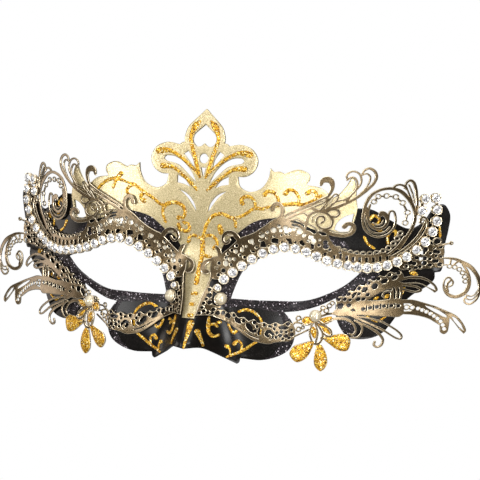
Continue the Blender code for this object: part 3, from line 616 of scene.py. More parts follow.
def hand_over(obj, slot_name, *nodes):
    """Put a finished piece on the body and hide the nodes it stands for; the finish slot is not
    used.
    """
    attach(obj, "root")
    if nodes:
        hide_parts(*nodes)


def both_sides(obj, stem, slot_name, node=None):
    """Name a piece right, mirror it to the left and hand both over."""
    obj.name = stem + "_right"
    obj.data.name = obj.name
    twin = mirrored(obj, stem + "_left")
    hand_over(obj, slot_name, *([node + "_right"] if node else []))
    hand_over(twin, slot_name, *([node + "_left"] if node else []))


def seat_frame(place, lift):
    """Local frame on the face: Z along the outward normal, origin at a height over the surface."""
    x, z = place
    normal = Vector(outward(np.float64(x), np.float64(z)))
    seat = normal.to_track_quat("Z", "Y").to_matrix().to_4x4()
    seat.translation = Vector(on_face(x, z, lift))
    return seat


def lathe(place, profile, steps, lift=0.0):
    """Corners and faces of a (radius, height) profile turned about the face normal."""
    seat = seat_frame(place, lift)
    verts = []
    faces = []
    rings = []
    for r, h in profile:
        loop = circle(0.0, 0.0, r, steps) if r > 0.0 else [(0.0, 0.0)]
        rings.append(list(range(len(verts), len(verts) + len(loop))))
        verts += [seat @ Vector((px * MM, py * MM, h * MM)) for px, py in loop]
    for low, high in zip(rings, rings[1:]):
        for k in range(steps):
            n = (k + 1) % steps
            if len(low) == 1:
                faces.append([low[0], high[k], high[n]])
            elif len(high) == 1:
                faces.append([low[n], low[k], high[0]])
            else:
                faces.append([low[n], low[k], high[k], high[n]])
    return verts, faces


# ---------------------------------------------------------------- materials

def fill_ramp(node, stops):
    """Set the (position, colour) stops of a colour ramp."""
    marks = node.color_ramp.elements
    while len(marks) < len(stops):
        marks.new(0.5)
    for mark, (position, colour) in zip(marks, stops):
        mark.position = position
        mark.color = tuple(colour) + (1.0,)


class Nodes:
    """Small helper for building a node material around one Principled shader."""

    def __init__(self, name, metallic, roughness, coat=0.0, coat_rough=0.03, ior=1.5):
        self.mat = bpy.data.materials.new(name)
        self.mat.use_nodes = True
        self.tree = self.mat.node_tree
        self.shader = self.tree.nodes["Principled BSDF"]
        self.put("Metallic", metallic)
        self.put("Roughness", roughness)
        self.put("Coat Weight", coat)
        self.put("Coat Roughness", coat_rough)
        self.put("IOR", ior)
        self.place = self.tree.nodes.new("ShaderNodeTexCoord").outputs["Object"]

    def put(self, socket, value):
        """Set a constant on the shader."""
        self.shader.inputs[socket].default_value = value

    def link(self, a, b):
        """Join two sockets."""
        self.tree.links.new(a, b)

    def noise(self, scale, detail=3.0, rough=0.55):
        """Value of a noise at a scale per metre."""
        node = self.tree.nodes.new("ShaderNodeTexNoise")
        node.inputs["Scale"].default_value = scale
        node.inputs["Detail"].default_value = detail
        node.inputs["Roughness"].default_value = rough
        self.link(self.place, node.inputs["Vector"])
        return node.outputs["Fac"]

    def cells(self, scale):
        """Random colour of Voronoi cells at a scale per metre."""
        node = self.tree.nodes.new("ShaderNodeTexVoronoi")
        node.inputs["Scale"].default_value = scale
        self.link(self.place, node.inputs["Vector"])
        return node.outputs["Color"]

    def channel(self, colour, which):
        """One channel of a colour."""
        node = self.tree.nodes.new("ShaderNodeSeparateColor")
        self.link(colour, node.inputs["Color"])
        return node.outputs[which]

    def ramp(self, value, stops, constant=False):
        """Colour ramp from (position, colour) stops."""
        node = self.tree.nodes.new("ShaderNodeValToRGB")
        node.color_ramp.interpolation = "CONSTANT" if constant else "LINEAR"
        fill_ramp(node, stops)
        self.link(value, node.inputs["Fac"])
        return node.outputs["Color"]

    def span(self, value, low, high):
        """Stretch a 0 to 1 value to a range."""
        node = self.tree.nodes.new("ShaderNodeMapRange")
        node.inputs["To Min"].default_value = low
        node.inputs["To Max"].default_value = high
        self.link(value, node.inputs["Value"])
        return node.outputs["Result"]

    def bump(self, value, height_mm, strength=1.0):
        """Bump the surface by a value."""
        node = self.tree.nodes.new("ShaderNodeBump")
        node.inputs["Distance"].default_value = height_mm * MM
        node.inputs["Strength"].default_value = strength
        self.link(value, node.inputs["Height"])
        self.link(node.outputs["Normal"], self.shader.inputs["Normal"])

    def colour(self, socket):
        """Feed the base colour."""
        self.link(socket, self.shader.inputs["Base Color"])

    def rough(self, socket):
        """Feed the roughness."""
        self.link(socket, self.shader.inputs["Roughness"])


def champagne_paint():
    """Pearl gold paint with a fine grain."""
    n = Nodes("champagne_paint", 0.8, 0.30, 1.0, 0.26)
    grain = n.noise(3600.0, 2.0, 0.6)
    n.colour(n.ramp(grain, [(0.36, (0.33, 0.257, 0.118)), (0.50, (0.52, 0.42, 0.215)),
                            (0.64, (0.80, 0.69, 0.43))]))
    n.rough(n.span(n.noise(90.0), 0.32, 0.42))
    n.bump(grain, 0.03, 0.5)
    return n.mat


def mottled(name, shader, scale, stops, rough_scale, rough, bump=None):
    """Softly mottled material; bump is (scale, detail, height in mm, strength)."""
    n = Nodes(name, *shader)
    n.colour(n.ramp(n.noise(scale), stops))
    n.rough(n.span(n.noise(rough_scale), *rough))
    if bump:
        n.bump(n.noise(*bump[:2]), *bump[2:])
    return n.mat


def glitter(name, shader, scale, stops, rough, bump):
    """Flecks that differ in colour, roughness and height; bump is (height in mm, strength)."""
    n = Nodes(name, *shader)
    shade = n.cells(scale)
    n.colour(n.ramp(n.channel(shade, "Red"), stops, True))
    n.rough(n.span(n.channel(shade, "Green"), *rough))
    n.bump(n.channel(shade, "Blue"), *bump)
    return n.mat


def crystal(name, low, high, metallic):
    """Foil-backed glass facet whose colour is a painted reflection, one fixed shade from light to
    dark.
    """
    return mottled(name, (metallic, 0.05, 0.6, 0.02), 450.0, [(0.3, low), (0.7, high)],
                   300.0, (0.03, 0.10))


def pearl(name, low, high):
    """Soft pearl lacquer."""
    return mottled(name, (0.3, 0.22, 0.8, 0.06), 350.0, [(0.3, low), (0.7, high)],
                   500.0, (0.18, 0.3))


CHAMPAGNE = champagne_paint()
# Deep black lacquer with a faint wave.
BLACK = mottled("gloss_black", (0.0, 0.2, 0.0, 0.2, 1.27),
                400.0, [(0.3, (0.003, 0.0025, 0.002)), (0.7, (0.007, 0.0055, 0.0045))],
                120.0, (0.16, 0.28), (160.0, 1.0, 0.05, 0.35))
# Black band full of tiny pale flecks.
BLACK_GLITTER = glitter("black_glitter", (0.0, 0.45, 0.0, 0.03, 1.25), 2900.0,
                        [(0.0, (0.006, 0.005, 0.006)), (0.55, (0.018, 0.013, 0.015)),
                         (0.86, (0.07, 0.055, 0.06)), (0.965, (0.65, 0.58, 0.62))],
                        (0.2, 0.5), (0.12, 0.7))
# Orange gold glitter with bright flecks.
GOLD_GLITTER = glitter("gold_glitter", (0.55, 0.38), 2600.0,
                       [(0.0, (0.17, 0.06, 0.003)), (0.22, (0.46, 0.22, 0.010)),
                        (0.50, (0.72, 0.39, 0.022)), (0.80, (0.95, 0.66, 0.12)),
                        (0.93, (1.0, 0.92, 0.55))],
                       (0.22, 0.55), (0.14, 0.8))
# Brownish aged gold of the etched plates, and the bright gold of their raised rims, which is partly
# polished metal and partly a painted highlight of edges catching light.
ANTIQUE = mottled("antique_gold", (0.95, 0.26, 0.7, 0.2),
                  500.0, [(0.3, (0.112, 0.073, 0.031)), (0.55, (0.148, 0.101, 0.046)),
                          (0.8, (0.185, 0.131, 0.065))],
                  900.0, (0.20, 0.32), (1500.0, 3.0, 0.012, 0.15))
BRIGHT = mottled("bright_gold", (0.92, 0.22, 0.5, 0.2),
                 300.0, [(0.3, (0.76, 0.63, 0.42)), (0.7, (0.95, 0.84, 0.64))],
                 800.0, (0.22, 0.38))
PEARL = pearl("pearl_gold", (0.58, 0.50, 0.35), (0.66, 0.58, 0.42))
# Pale pearl paint for the strip under the brow lace: a painted highlight standing in for the shine
# of the glossy ridge seen through the lace holes.
PAINTED_HIGHLIGHT_PEARL = pearl("painted_highlight_pearl", (0.76, 0.70, 0.56), (0.88, 0.84, 0.72))
# Satin black plastic of the inside.
BACK = mottled("moulded_back", (0.0, 0.5),
               260.0, [(0.3, (0.016, 0.014, 0.014)), (0.7, (0.032, 0.028, 0.027))],
               700.0, (0.42, 0.6), (1800.0, 3.0, 0.04, 0.5))
# Three facet shades, from white to near black: painted reflections of light and dark surroundings,
# given to the facets in a fixed pattern.
PAINTED_FACET_REFLECTIONS = [crystal("crystal_painted_bright_reflection", (0.95, 0.94, 0.92), (1.0, 1.0, 1.0), 0.5),
          crystal("crystal_painted_grey_reflection", (0.60, 0.59, 0.60), (0.78, 0.77, 0.77), 0.6),
          crystal("crystal_painted_dark_reflection", (0.14, 0.14, 0.17), (0.24, 0.24, 0.28), 0.85)]
METALS = [ANTIQUE, BRIGHT]
FIELD = 0
POLISH_AND_EDGE_HIGHLIGHT = 1
SHELL_PAINTS = [BLACK, CHAMPAGNE, BLACK_GLITTER, BACK, PAINTED_HIGHLIGHT_PEARL]


# ---------------------------------------------------------------- painted shell

CREST = joined(
    pairs(0, 70, 4.2, 66, 7.4, 62.6, 8.8, 58.5, 8.7, 56.4),
    pairs(10, 56, 10.8, 55.2),
    pairs(16.2, 56, 21.2, 53.9, 23.4, 49.4, 21.8, 45.3, 18.4, 43.1, 15.2, 43),
    pairs(16.1, 39.2, 20.2, 37.1, 25.4, 38.8, 28.2, 43, 28.8, 47),
    pairs(30.3, 45.6, 32.6, 45.8, 34.6, 44.9),
    pairs(40.2, 46.8, 44.6, 44.9, 44.9, 42.7, 43.4, 40.6),
    pairs(49, 39.6, 54.4, 35.6),
    pairs(56.8, 37.4, 59.4, 40.7),
    pairs(61.2, 43.8, 62.6, 40.6, 62.9, 35, 63.4, 31.2),
)
TEMPLE_EDGE = joined(
    pairs(63.4, 31.2, 68.8, 30.6, 74.6, 26.6, 82, 22.4, 86.6, 24.6, 90.4, 30.4, 93.6, 32, 95.9, 28,
          95.4, 21, 94.2, 14, 93.9, 6.2),
    pairs(93.2, 4.4, 91.2, 4.3),
    pairs(91.3, 1.4, 89, -1.3, 84.8, -4, 81.8, -7, 78.8, -13.2, 74, -19.8, 68, -21.7, 62.4, -20.6,
          59.2, -16.6, 57.4, -11.6, 57, -5),
)
CHEEK_EDGE = joined(
    pairs(57, -5, 50.4, -8.2, 43.6, -10.2, 36.9, -11),
    pairs(40.4, -14.8, 41.8, -20.4, 40, -25.6, 35.5, -28.9, 28, -31, 19.5, -30.5),
    pairs(19.2, -32.2, 18.3, -32.9),
    pairs(11.8, -28.8, 6.6, -25.4, 0, -25.3),
)
EYE = joined(
    pairs(14.2, -6.5, 14.9, -3.6, 18.2, 4.6, 22.8, 8.6, 30.6, 12.7, 36, 14.1, 44, 12.4, 52.6, 8.9,
          60, 6.8, 65, 4.6),
    pairs(60.2, 0, 53.6, -3.6, 46, -6.1, 36, -6.6, 24, -6.7, 14.2, -6.5),
)
SPADE_HALF = pairs(0, 63.7, 2.4, 61.6, 4.8, 59.2, 5, 56.6, 3.2, 54.7, 1.5, 54.8, 0, 56)
SIDE_SLITS = [
    joined(
        pairs(6.9, 52.8, 8.9, 51.5),
        pairs(6.6, 48.9, 3.9, 45.9),
        pairs(4.6, 49.2, 6.9, 52.8),
    ),
    joined(
        pairs(2.7, 39.6, 5, 44.2, 8.8, 48.2, 13, 50.3, 16.6, 50.5),
        pairs(17.6, 49.4, 16.6, 48.3),
        pairs(11, 46.9, 6.4, 43, 2.7, 39.6),
    ),
    joined(
        pairs(5.4, 37.9, 7.6, 40.8, 11.3, 42.9),
        pairs(11.3, 39.6),
        pairs(8.4, 39.1, 5.4, 37.9),
    ),
    joined(
        pairs(10.6, 37, 7, 34, 4.4, 30.6, 2.3, 27.4),
        pairs(3.4, 31.4, 6.4, 35, 10.6, 37),
    ),
    joined(
        pairs(62.2, 29.2, 58.4, 27.8, 55.8, 25.2, 55, 22.6),
        pairs(58, 21.4, 60.6, 22, 61.4, 25, 62.2, 29.2),
    ),
]
CREST_CIRCLE = (0.0, 49.8, 2.0)
CREST_TRIANGLE = pairs(-1.1, 46.1, 1.1, 46.1, 0, 42)
NOSE_STUD_AT = (10.3, -6.9)
CHEEK_STUD_AT = (49.6, -12.2)
NOSE_GEM_AT = (8.6, -2.7)
NOSE_GEM_R = 1.5
RIVET_HOLE_R = 1.25
NOSE_EYELET = (1.9, 1.3, 20)
CHEEK_EYELET = (1.75, 1.0, 20)
LOOSE_RING_WIDTH = 0.6
GRID_PITCH = 1.3
GRID_MARGIN = 0.6

RIDGE_LINE = pairs(
    16, 12.2, 18.6, 13.8, 22.4, 16.3, 26.8, 18.8, 31.2, 21, 36, 21.4, 41.4, 20.8, 46.6, 17,
    51.6, 14.8, 61.8, 10.4, 66, 9.6
)
# Edge of the champagne paint on one side, from above the temple to under the nose.
PAINT_EDGE = pairs(
    64.5, 74, 63.8, 45, 63.4, 31.2, 62.4, 27, 60.8, 21.8, 55, 20.8, 50, 21.8, 46, 23, 41, 25.6,
    36, 27.2, 30.5, 27, 27.8, 26.7, 24.7, 26, 21.6, 24.7, 18.5, 22.5, 15.8, 20.2, 12, 17.6,
    9.6, 14.6, 8, 10.8, 6.4, 6, 5.2, 0, 4.2, -5, 3.3, -10, 2.6, -13.8
)
GLITTER_ZONES = [
    pairs(15, 21, 21.6, 25.6, 30.5, 28, 35, 27.6, 30, 22.2, 22, 17.8, 15.6, 16.4),
    pairs(11, -9.6, 9.6, -1, 14, 5.4, 20, 10.6, 30, 16, 36, 17.4, 45, 15.4, 53, 20.2, 60, 16.4,
          64, 8, 72, 6.2, 70.4, 2, 63.6, -3.6, 57.6, -8.4, 50, -11, 42, -11.6, 30, -10.6, 20, -9.4),
    pairs(33, -9, 42, -9.8, 44, -20, 41, -29, 30, -30.2, 34.6, -26.2, 37.4, -20, 36, -13.6),
    pairs(56, -13.6, 62.6, -13.4, 65, -17, 64.6, -21.4, 58, -22),
]


def slot_loop():
    """Round-ended ribbon slot."""
    x, z = SLOT_AT
    end_r = SLOT_WIDE / 2.0
    half = SLOT_TALL / 2.0 - end_r
    arc = [(end_r * math.cos(math.pi * k / 8), end_r * math.sin(math.pi * k / 8))
           for k in range(9)]
    return [(x + a, z + half + b) for a, b in arc] + [(x - a, z - half - b) for a, b in arc]


def ridge(x, z):
    """Height of the moulded ridge that runs under the brow lace on both sides."""
    line = np.array(smooth(RIDGE_LINE))
    along = line[1:] - line[:-1]
    size = (along ** 2).sum(axis=1)
    off = np.stack([np.abs(x), z], axis=-1)[:, None, :] - line[None, :-1]
    t = np.clip((off * along).sum(axis=2) / size, 0.0, 1.0)
    gap = off - along * t[..., None]
    nearest = (gap ** 2).sum(axis=2).min(axis=1)
    return RIDGE_HIGH * np.exp(-nearest / RIDGE_HALF ** 2)


def shell_drawing():
    """Outline, piercings and paint zones of the moulded shell."""
    half = outline(CREST + TEMPLE_EDGE + CHEEK_EDGE) + [CHEEK_EDGE[-1][-1]]
    side_holes = [outline(EYE), slot_loop(), circle(*NOSE_STUD_AT, RIVET_HOLE_R)]
    side_holes += [outline(slit) for slit in SIDE_SLITS]
    spade = fair(SPADE_HALF)
    middle_holes = [spade + flipped(spade)[1:-1], circle(*CREST_CIRCLE, 24), CREST_TRIANGLE]
    drawing = Drawing()
    drawing.area(half + flipped(half)[1:-1],
                 side_holes + [flipped(hole) for hole in side_holes] + middle_holes)
    # Pale strip of painted highlight along the line under the brow lace, lying over the black
    # paint.
    places = even_places(PAINTED_HIGHLIGHT_LINE, 40)
    strip = beside(places, PAINTED_HIGHLIGHT_HALF) + beside(reversed(places), -PAINTED_HIGHLIGHT_HALF)
    zones = [(strip, PAINTED_HIGHLIGHT_PEARL)] + [(fair_loop(zone), BLACK_GLITTER) for zone in GLITTER_ZONES]
    for loop, paint in zones:
        drawing.zone(loop, SHELL_PAINTS.index(paint))
        drawing.zone(flipped(loop), SHELL_PAINTS.index(paint))
    edge = [PAINT_EDGE[0]] + fair(PAINT_EDGE[1:])
    drawing.zone(edge + flipped(edge), SHELL_PAINTS.index(CHAMPAGNE))
    drawing.fill_grid(GRID_PITCH, GRID_MARGIN)
    return drawing


# Heights of the outer edge, then (width, height, material or None) of the strips inside it.
SHELL_EDGE = -0.16
SHELL_RIMS = [(0.12, -0.04, None), (0.16, 0.0, None)]


def make_shell():
    """Painted shell: gloss black, champagne crown, glitter bands and a pale strip of painted
    highlight under the brow lace, with a rounded edge.
    """
    shell = lay("mask_shell_painted", shell_drawing(), SHELL_PAINTS, ridge, SHELL_THICK,
                start=SHELL_EDGE, rims=SHELL_RIMS, back=SHELL_PAINTS.index(BACK))
    hand_over(shell, "shell_lacquer", "mask_shell")


# ---------------------------------------------------------------- glitter scrolls

CROWN_GLITTER = [
    triples(2.3, 65, 0.6, 4.3, 63, 2.2, 5.5, 60.5, 1.5, 6.1, 58, 1.2, 5.7, 56, 1.2, 4.8, 53, 1.3,
            3.75, 50, 1.4, 2.9, 47.3, 1.4, 2, 44.5, 1.2, 1.25, 42, 0.7),
    triples(20.2, 52.1, 2, 17.5, 52.6, 1.8, 14.8, 52.5, 1.3, 12.7, 51.6, 1.1, 10.2, 50.2, 1.1,
            7.7, 48.4, 1.1, 5.5, 46.6, 1, 3.4, 44.8, 0.9, 1.6, 42.7, 0.7),
    triples(18, 46.2, 1.9, 15.5, 46.2, 1.6, 13, 45.7, 1.2, 10.5, 44.1, 1, 7.7, 42, 1.1,
            5.2, 39.8, 1.2, 2.3, 37, 1),
]
LEFT_GLITTER = [
    triples(15.9, 23, 0.9, 17.3, 27, 1, 16.4, 29.8, 1.4, 12.3, 31.3, 1.3, 8.4, 30, 1.2,
            7.3, 27.3, 1.2, 8.4, 25.2, 1.2, 10.2, 25.1, 1.6),
    triples(8, 23.4, 1, 5.6, 22.4, 1.1, 5.4, 20.4, 1.2, 7.2, 19.6, 1.2, 9.6, 20.8, 1.3,
            10.2, 22.6, 1.1),
    triples(16.4, 29.8, 1, 18.75, 30.5, 1, 22, 32.7, 1.1, 24.8, 34.3, 1.2, 27.3, 35.7, 1.1,
            30.5, 37.7, 1, 33, 38.2, 0.7, 36.25, 39.1, 0.9, 39.5, 39.6, 1.3, 42, 39.3, 1.2,
            44.5, 38.2, 1.1, 46.6, 36.8, 1.1, 48.4, 35, 1),
    triples(26, 34.6, 1, 27.3, 33.4, 1.3, 27.2, 31.8, 1.2, 25.8, 31.3, 1.6),
    triples(30.5, 37.7, 1, 32.7, 37, 1.1, 34.1, 35.2, 1.1, 33.4, 33.6, 1, 31.6, 32.8, 0.9),
    triples(37.2, 41.8, 1.7, 39.1, 39.8, 1.3, 40.2, 37.3, 0.9, 41, 35.7, 0.8),
]
RIGHT_GLITTER = [
    triples(1, 17.5, 1.2, 1.4, 20.6, 1.1, 2.8, 24, 1.2, 4.7, 26.4, 1.2, 7.4, 27.5, 1.3,
            10, 27.3, 1.2, 13.5, 26, 1.1, 16.2, 26.6, 1.2, 18.9, 27.9, 1.1, 21.6, 29.8, 1.1,
            23.2, 30.6, 1.2, 26.2, 30.4, 1, 29.3, 31.4, 1, 35.5, 32.5, 1.2, 39.3, 32.9, 1.3,
            42.6, 32.6, 1.2, 46, 34, 1, 49.5, 36.4, 1),
    triples(23.2, 31, 1, 22.6, 33.3, 1.1, 20.8, 35, 1.1, 18.5, 35, 1.2, 17, 33.7, 1.3,
            17.6, 32.4, 1.7),
    triples(13.9, 26, 1, 14.7, 24.5, 1.2, 14.9, 22.5, 0.9),
    triples(8, 22.4, 1.6, 8.6, 20.2, 2),
    triples(1, 17.9, 1.1, 3.2, 18.5, 1.1, 5.1, 18.1, 1.2, 6.6, 16.8, 1.1, 7, 15, 1.1,
            5.5, 13.3, 1.2),
    triples(32.6, 32.5, 1, 32.4, 35, 1, 30.6, 37.2, 1.1, 28, 37.6, 1.2, 26.8, 36.2, 1.5),
    triples(40.8, 32.9, 1, 40.8, 35.6, 1, 39, 38, 1.1, 36.6, 38.4, 1.3, 35.4, 37, 1.5),
    triples(47.6, 35.2, 0.9, 47.6, 37.4, 1, 45.8, 38.4, 1.2, 44, 37.2, 1.4),
]
MIDDLE_GLITTER = [
    triples(0.6, 17.5, 1.5, 0.8, 11, 1.6, 0.5, 6.8, 1.4, 0.4, -0.2, 1.8),
    triples(0.8, 10.5, 1.2, 2.8, 10, 1.1, 4.6, 9.8, 0.9),
    triples(-1, 17.4, 1, -3.2, 18.2, 1, -5, 17.6, 1.2, -5.6, 15.4, 1.2),
    triples(-0.3, -4.4, 1.1, 0.6, -4.4, 2, 1.5, -4.4, 1.1),
    triples(-0.1, -8.4, 1, 0.7, -8.4, 1.8, 1.5, -8.4, 1),
    triples(0.1, -12.5, 1, 0.9, -12.5, 1.8, 1.7, -12.5, 1),
    triples(1.8, -15.5, 2, 1.3, -20, 1.5, 0.7, -24.9, 0.8),
]
NOSE_SIDE_GLITTER = [
    triples(4.3, -18.6, 1.6, 5.65, -21.3, 1, 6.9, -24.6, 0.6),
    triples(7.2, -13.8, 0.8, 7.4, -17, 1, 8.2, -19.8, 1.1, 9.7, -21.3, 1.2, 11.2, -20.9, 1),
    triples(7.8, -16.7, 1, 9.3, -16.5, 1.1, 10.4, -17.6, 0.9),
    triples(10.7, -15.9, 1.3, 11.3, -16.1, 1.1),
    triples(14.3, -16.7, 0.9, 15.1, -18.6, 1, 16.6, -20.2, 1.2, 18, -19.4, 1.1),
    triples(14.3, -25.5, 1.6, 15.5, -26.7, 0.8, 15.7, -28.6, 0.7),
    triples(17.2, -24.6, 1.8, 18.3, -23.4, 1.2, 19.9, -24.4, 1.1, 20, -27, 0.9, 19, -28.2, 0.7),
    triples(14.3, -30, 0.7, 16.2, -29.2, 1.1, 19.3, -28, 1.3, 22.4, -26.1, 1.3, 24.7, -24.4, 1.2,
            26.6, -23.2, 1),
    triples(18, -11.7, 1, 20.8, -10.7, 1.2, 23.9, -11.3, 1.3, 26.2, -12.8, 1.2, 27.6, -14.4, 1.1,
            28.2, -17, 1, 27.8, -20.2, 0.9),
]
TEMPLE_GLITTER = [
    triples(67.4, 26.2, 1.1, 69.2, 28.2, 1.2, 71.2, 26.8, 1.1, 70.6, 24.8, 1, 68.4, 24.6, 1),
    triples(66, 19.6, 1, 66.6, 18, 1, 68, 16, 1.1, 69.8, 14.8, 1),
    triples(70.6, 22.8, 1.4, 71.8, 22, 1.2),
    triples(74.4, 16.6, 0.9, 74.3, 19.4, 1.1, 75.4, 21.6, 1.2, 77.2, 21.4, 1.2, 77, 19.6, 1.2),
    triples(92.4, 23, 0.8, 92.6, 18.6, 1),
    triples(83, 4.4, 1.4, 84.6, 3.4, 1.7),
    triples(68.4, -12.2, 0.9, 70.4, -13.6, 0.9, 72.4, -14.6, 1.1, 74.4, -13.6, 1, 75.8, -12.2, 0.9),
    triples(71.2, -5.4, 1.2, 72, -5, 1.2),
    triples(74.6, -5, 1.3, 75.6, -4.4, 1.4),
    triples(81, -1.6, 0.9, 80, -4.4, 1),
]
# Middle line and half width of the pale strip of painted highlight under the brow lace.
PAINTED_HIGHLIGHT_LINE = pairs(
    9.8, 6.6, 12.6, 8.8, 15.4, 11.8, 18.4, 14.6, 22.2, 17.6, 26.6, 20.2, 31, 22.1, 36.2, 22.3,
    41.4, 21.9, 44.6, 19.8, 47.4, 18, 51.6, 16.4, 56.6, 14
)
PAINTED_HIGHLIGHT_HALF = 1.5
PAINT_LINE = triples(
    15.8, 20.2, 0.6, 18.5, 22.6, 0.8, 21.6, 24.8, 0.8, 24.7, 26.1, 0.8, 27.8, 26.8, 0.8,
    31.5, 27.1, 0.5
)
CHEEK_LINE = triples(35.6, -21, 0.3, 34.8, -25.4, 0.4, 32.2, -28.6, 0.4, 29.6, -30, 0.3)
GLITTER_GROW = 1.32
GLITTER_THICK = 0.2
GLITTER_EDGE = 0.04
GLITTER_RIMS = [(0.16, 0.24, None), (0.18, 0.36, None)]
LINE_EDGE = 0.02
LINE_RIMS = [(0.12, 0.18, None)]


def make_scrolls():
    """Raised glitter scrolls, each side with its own design where they differ."""
    groups = [
        ("crown_glitter_right", CROWN_GLITTER, 1, GLITTER_GROW),
        ("crown_glitter_left", CROWN_GLITTER, -1, GLITTER_GROW),
        ("forehead_glitter_left", LEFT_GLITTER, -1, GLITTER_GROW),
        ("forehead_glitter_right", RIGHT_GLITTER, 1, GLITTER_GROW),
        ("nose_glitter_middle", MIDDLE_GLITTER, 1, GLITTER_GROW),
        ("nose_glitter_right", NOSE_SIDE_GLITTER, 1, 1.0),
        ("nose_glitter_left", NOSE_SIDE_GLITTER, -1, 1.0),
        ("temple_glitter_right", TEMPLE_GLITTER, 1, 1.0),
        ("temple_glitter_left", TEMPLE_GLITTER, -1, 1.0),
    ]
    for name, lines, side, grow in groups:
        drawing = Drawing()
        for points in lines:
            drawing.stroke([(side * x, z, wide * grow) for x, z, wide in points])
        scroll = lay(name, drawing, [GOLD_GLITTER], 0.0, GLITTER_THICK, start=GLITTER_EDGE,
                     rims=GLITTER_RIMS)
        hand_over(scroll, "glitter_gold")
    for stem, points, mat in (("paint_line", PAINT_LINE, CHAMPAGNE),
                              ("cheek_line", CHEEK_LINE, BLACK)):
        drawing = Drawing()
        drawing.stroke(points)
        raised = lay(stem, drawing, [mat], 0.0, GLITTER_THICK, start=LINE_EDGE, rims=LINE_RIMS)
        both_sides(raised, stem, "shell_lacquer")


# ---------------------------------------------------------------- metal plates

STONE_LINE = pairs(
    11.1, 0.9, 18.6, 6.8, 27, 12.4, 35.9, 15.4, 44.4, 13.6, 52.3, 10, 60.1, 8, 66.9, 7, 73.7, 7.9,
    80.3, 11.2, 86.8, 17.2, 90.7, 25.4, 90.3, 34.8
)
STONES_PER_ROW = 2 * len(STONE_LINE) - 1
INNER_STONES = pairs(86.6, 34.5, 85.4, 29.7)
BAND_REACH = 0.6
BAND_SHARE = 0.68
CUP_SEAT_R = CUP_R - 0.1
RAIL_FROM = 16
RAIL_END = (86.2, 27.0)
RAIL_WIDTH = 1.2
# Mean radius and width of the chain rings, and the links between the upper ones.
LOW_RING = (0.9, 0.55)
HIGH_RING = (0.95, 0.5)
FEATHER_RING = (0.95, 0.45)
SCROLL_RING = (0.8, 0.5)
LINK_ENDS = (0.28, 0.72)
LINK_WIDTH = 0.7
BAND_TOP = pairs(
    5.4, 9.4, 8.4, 10.4, 12.4, 13.4, 16.2, 17, 21.6, 20.1, 25.5, 21.8, 30.1, 24.8, 34.2, 27.3,
    37, 27, 41, 25, 44.4, 23.2, 47.4, 21, 49.2, 22.6, 52, 22, 53.4, 18.6, 57, 15, 62, 13, 68, 12.4,
    73, 13.4
)
BAND_FOOT = pairs(73, 13.4, 74.6, 12, 77.4, 10.6)
BAND_NOSE = pairs(8, 0.4, 6.2, 1.2, 5, 4, 5.4, 9.4)
GAPS = [
    pairs(25.6, 14.9, 28.3, 14.9, 27.9, 17, 27, 17.6, 25.9, 17),
    pairs(30.4, 17, 33.1, 16.4, 33.2, 18.6, 31.6, 19, 30.3, 18.6),
    pairs(36.1, 18.8, 38.2, 18.7, 38.7, 16.5, 37.6, 16.6),
    pairs(41.4, 17.8, 42.6, 18.6, 43.9, 16.6, 43.2, 15.9, 42, 16.4),
    pairs(45.9, 17, 47.4, 17.4, 47.3, 15, 46.3, 14.6),
    pairs(21.6, 13.5, 23.5, 13.4, 23.7, 12.4, 22.2, 12.5),
    pairs(49, 22, 51.8, 21.6, 51.9, 20.4, 50.4, 20.3, 49.2, 21.2),
    pairs(50.8, 13.2, 52.2, 13.6, 52, 11.8, 51.2, 11.6),
    pairs(54.4, 18.4, 56, 16.9, 55.4, 16.2, 54.2, 17.2),
    pairs(54.6, 12.2, 55.6, 12.4, 55.4, 10.6, 54.7, 10.7),
]
TEETH_TOP = pairs(57.4, 12.8, 62, 11.7, 68, 11.3, 73.8, 12.1)
TEETH_FOOT = pairs(57.2, 9.9, 62, 9.2, 68, 8.9, 74, 9.8)
TEETH_COUNT = 8
TOOTH_HALF = 0.5
ROW_HOLE_R = 0.42
HOLE_GROW = 0.2
LACE_GROW = 0.26
ROUND_HOLES = triples(
    18.3, 14.6, 0.55, 18.2, 13.2, 0.5, 21.9, 17.3, 0.85, 26.4, 20, 0.95, 31.2, 22.1, 0.85,
    28.6, 21.2, 0.45, 33.3, 23.7, 0.45, 35.9, 23, 0.75, 36.3, 21.3, 0.8, 37.7, 22.5, 0.65,
    41.6, 22, 1, 34.1, 22.1, 0.45, 39.4, 22.8, 0.5, 43.2, 20.3, 0.5, 45.8, 19.6, 0.6,
    47, 18.2, 0.85, 51.6, 17.6, 0.75, 51.8, 15.9, 0.95, 57.2, 13.9, 0.6, 8.5, 7.3, 0.55,
    11.4, 9.6, 0.55, 12, 11.4, 0.45, 13.7, 13.1, 0.55, 15.5, 12.6, 0.55, 15.8, 15, 0.5,
    15, 9.4, 0.45, 10.5, 4.4, 0.75, 11.4, 7.4, 0.85, 13.6, 7, 0.5, 13.2, 9.2, 0.5, 17.4, 11.2, 0.5,
    19.2, 10.4, 0.5, 7.4, 5.4, 0.45, 8.6, 2.6, 0.5, 24.2, 14.8, 0.4, 29.3, 15.4, 0.4,
    34.6, 17.2, 0.4, 40, 17.4, 0.4, 45, 18, 0.4, 49.2, 16.4, 0.4, 53.2, 14.6, 0.4
)
RING_ROW = pairs(20, 15, 24, 16.9, 28.6, 18.9, 33.5, 20, 38.5, 20.6, 44.5, 20.6, 49.4, 18.6)
LEAF_SLITS = [
    pairs(42.6, 24.2, 45.2, 23.4, 47, 22.2, 46, 22, 43.6, 22.8),
    pairs(38.6, 24.8, 41, 24.2, 42.2, 23.2, 40.4, 23.4, 38.4, 24.2),
    pairs(37.4, 26.2, 39.6, 25.8, 41.2, 24.9, 39.2, 25.1),
]
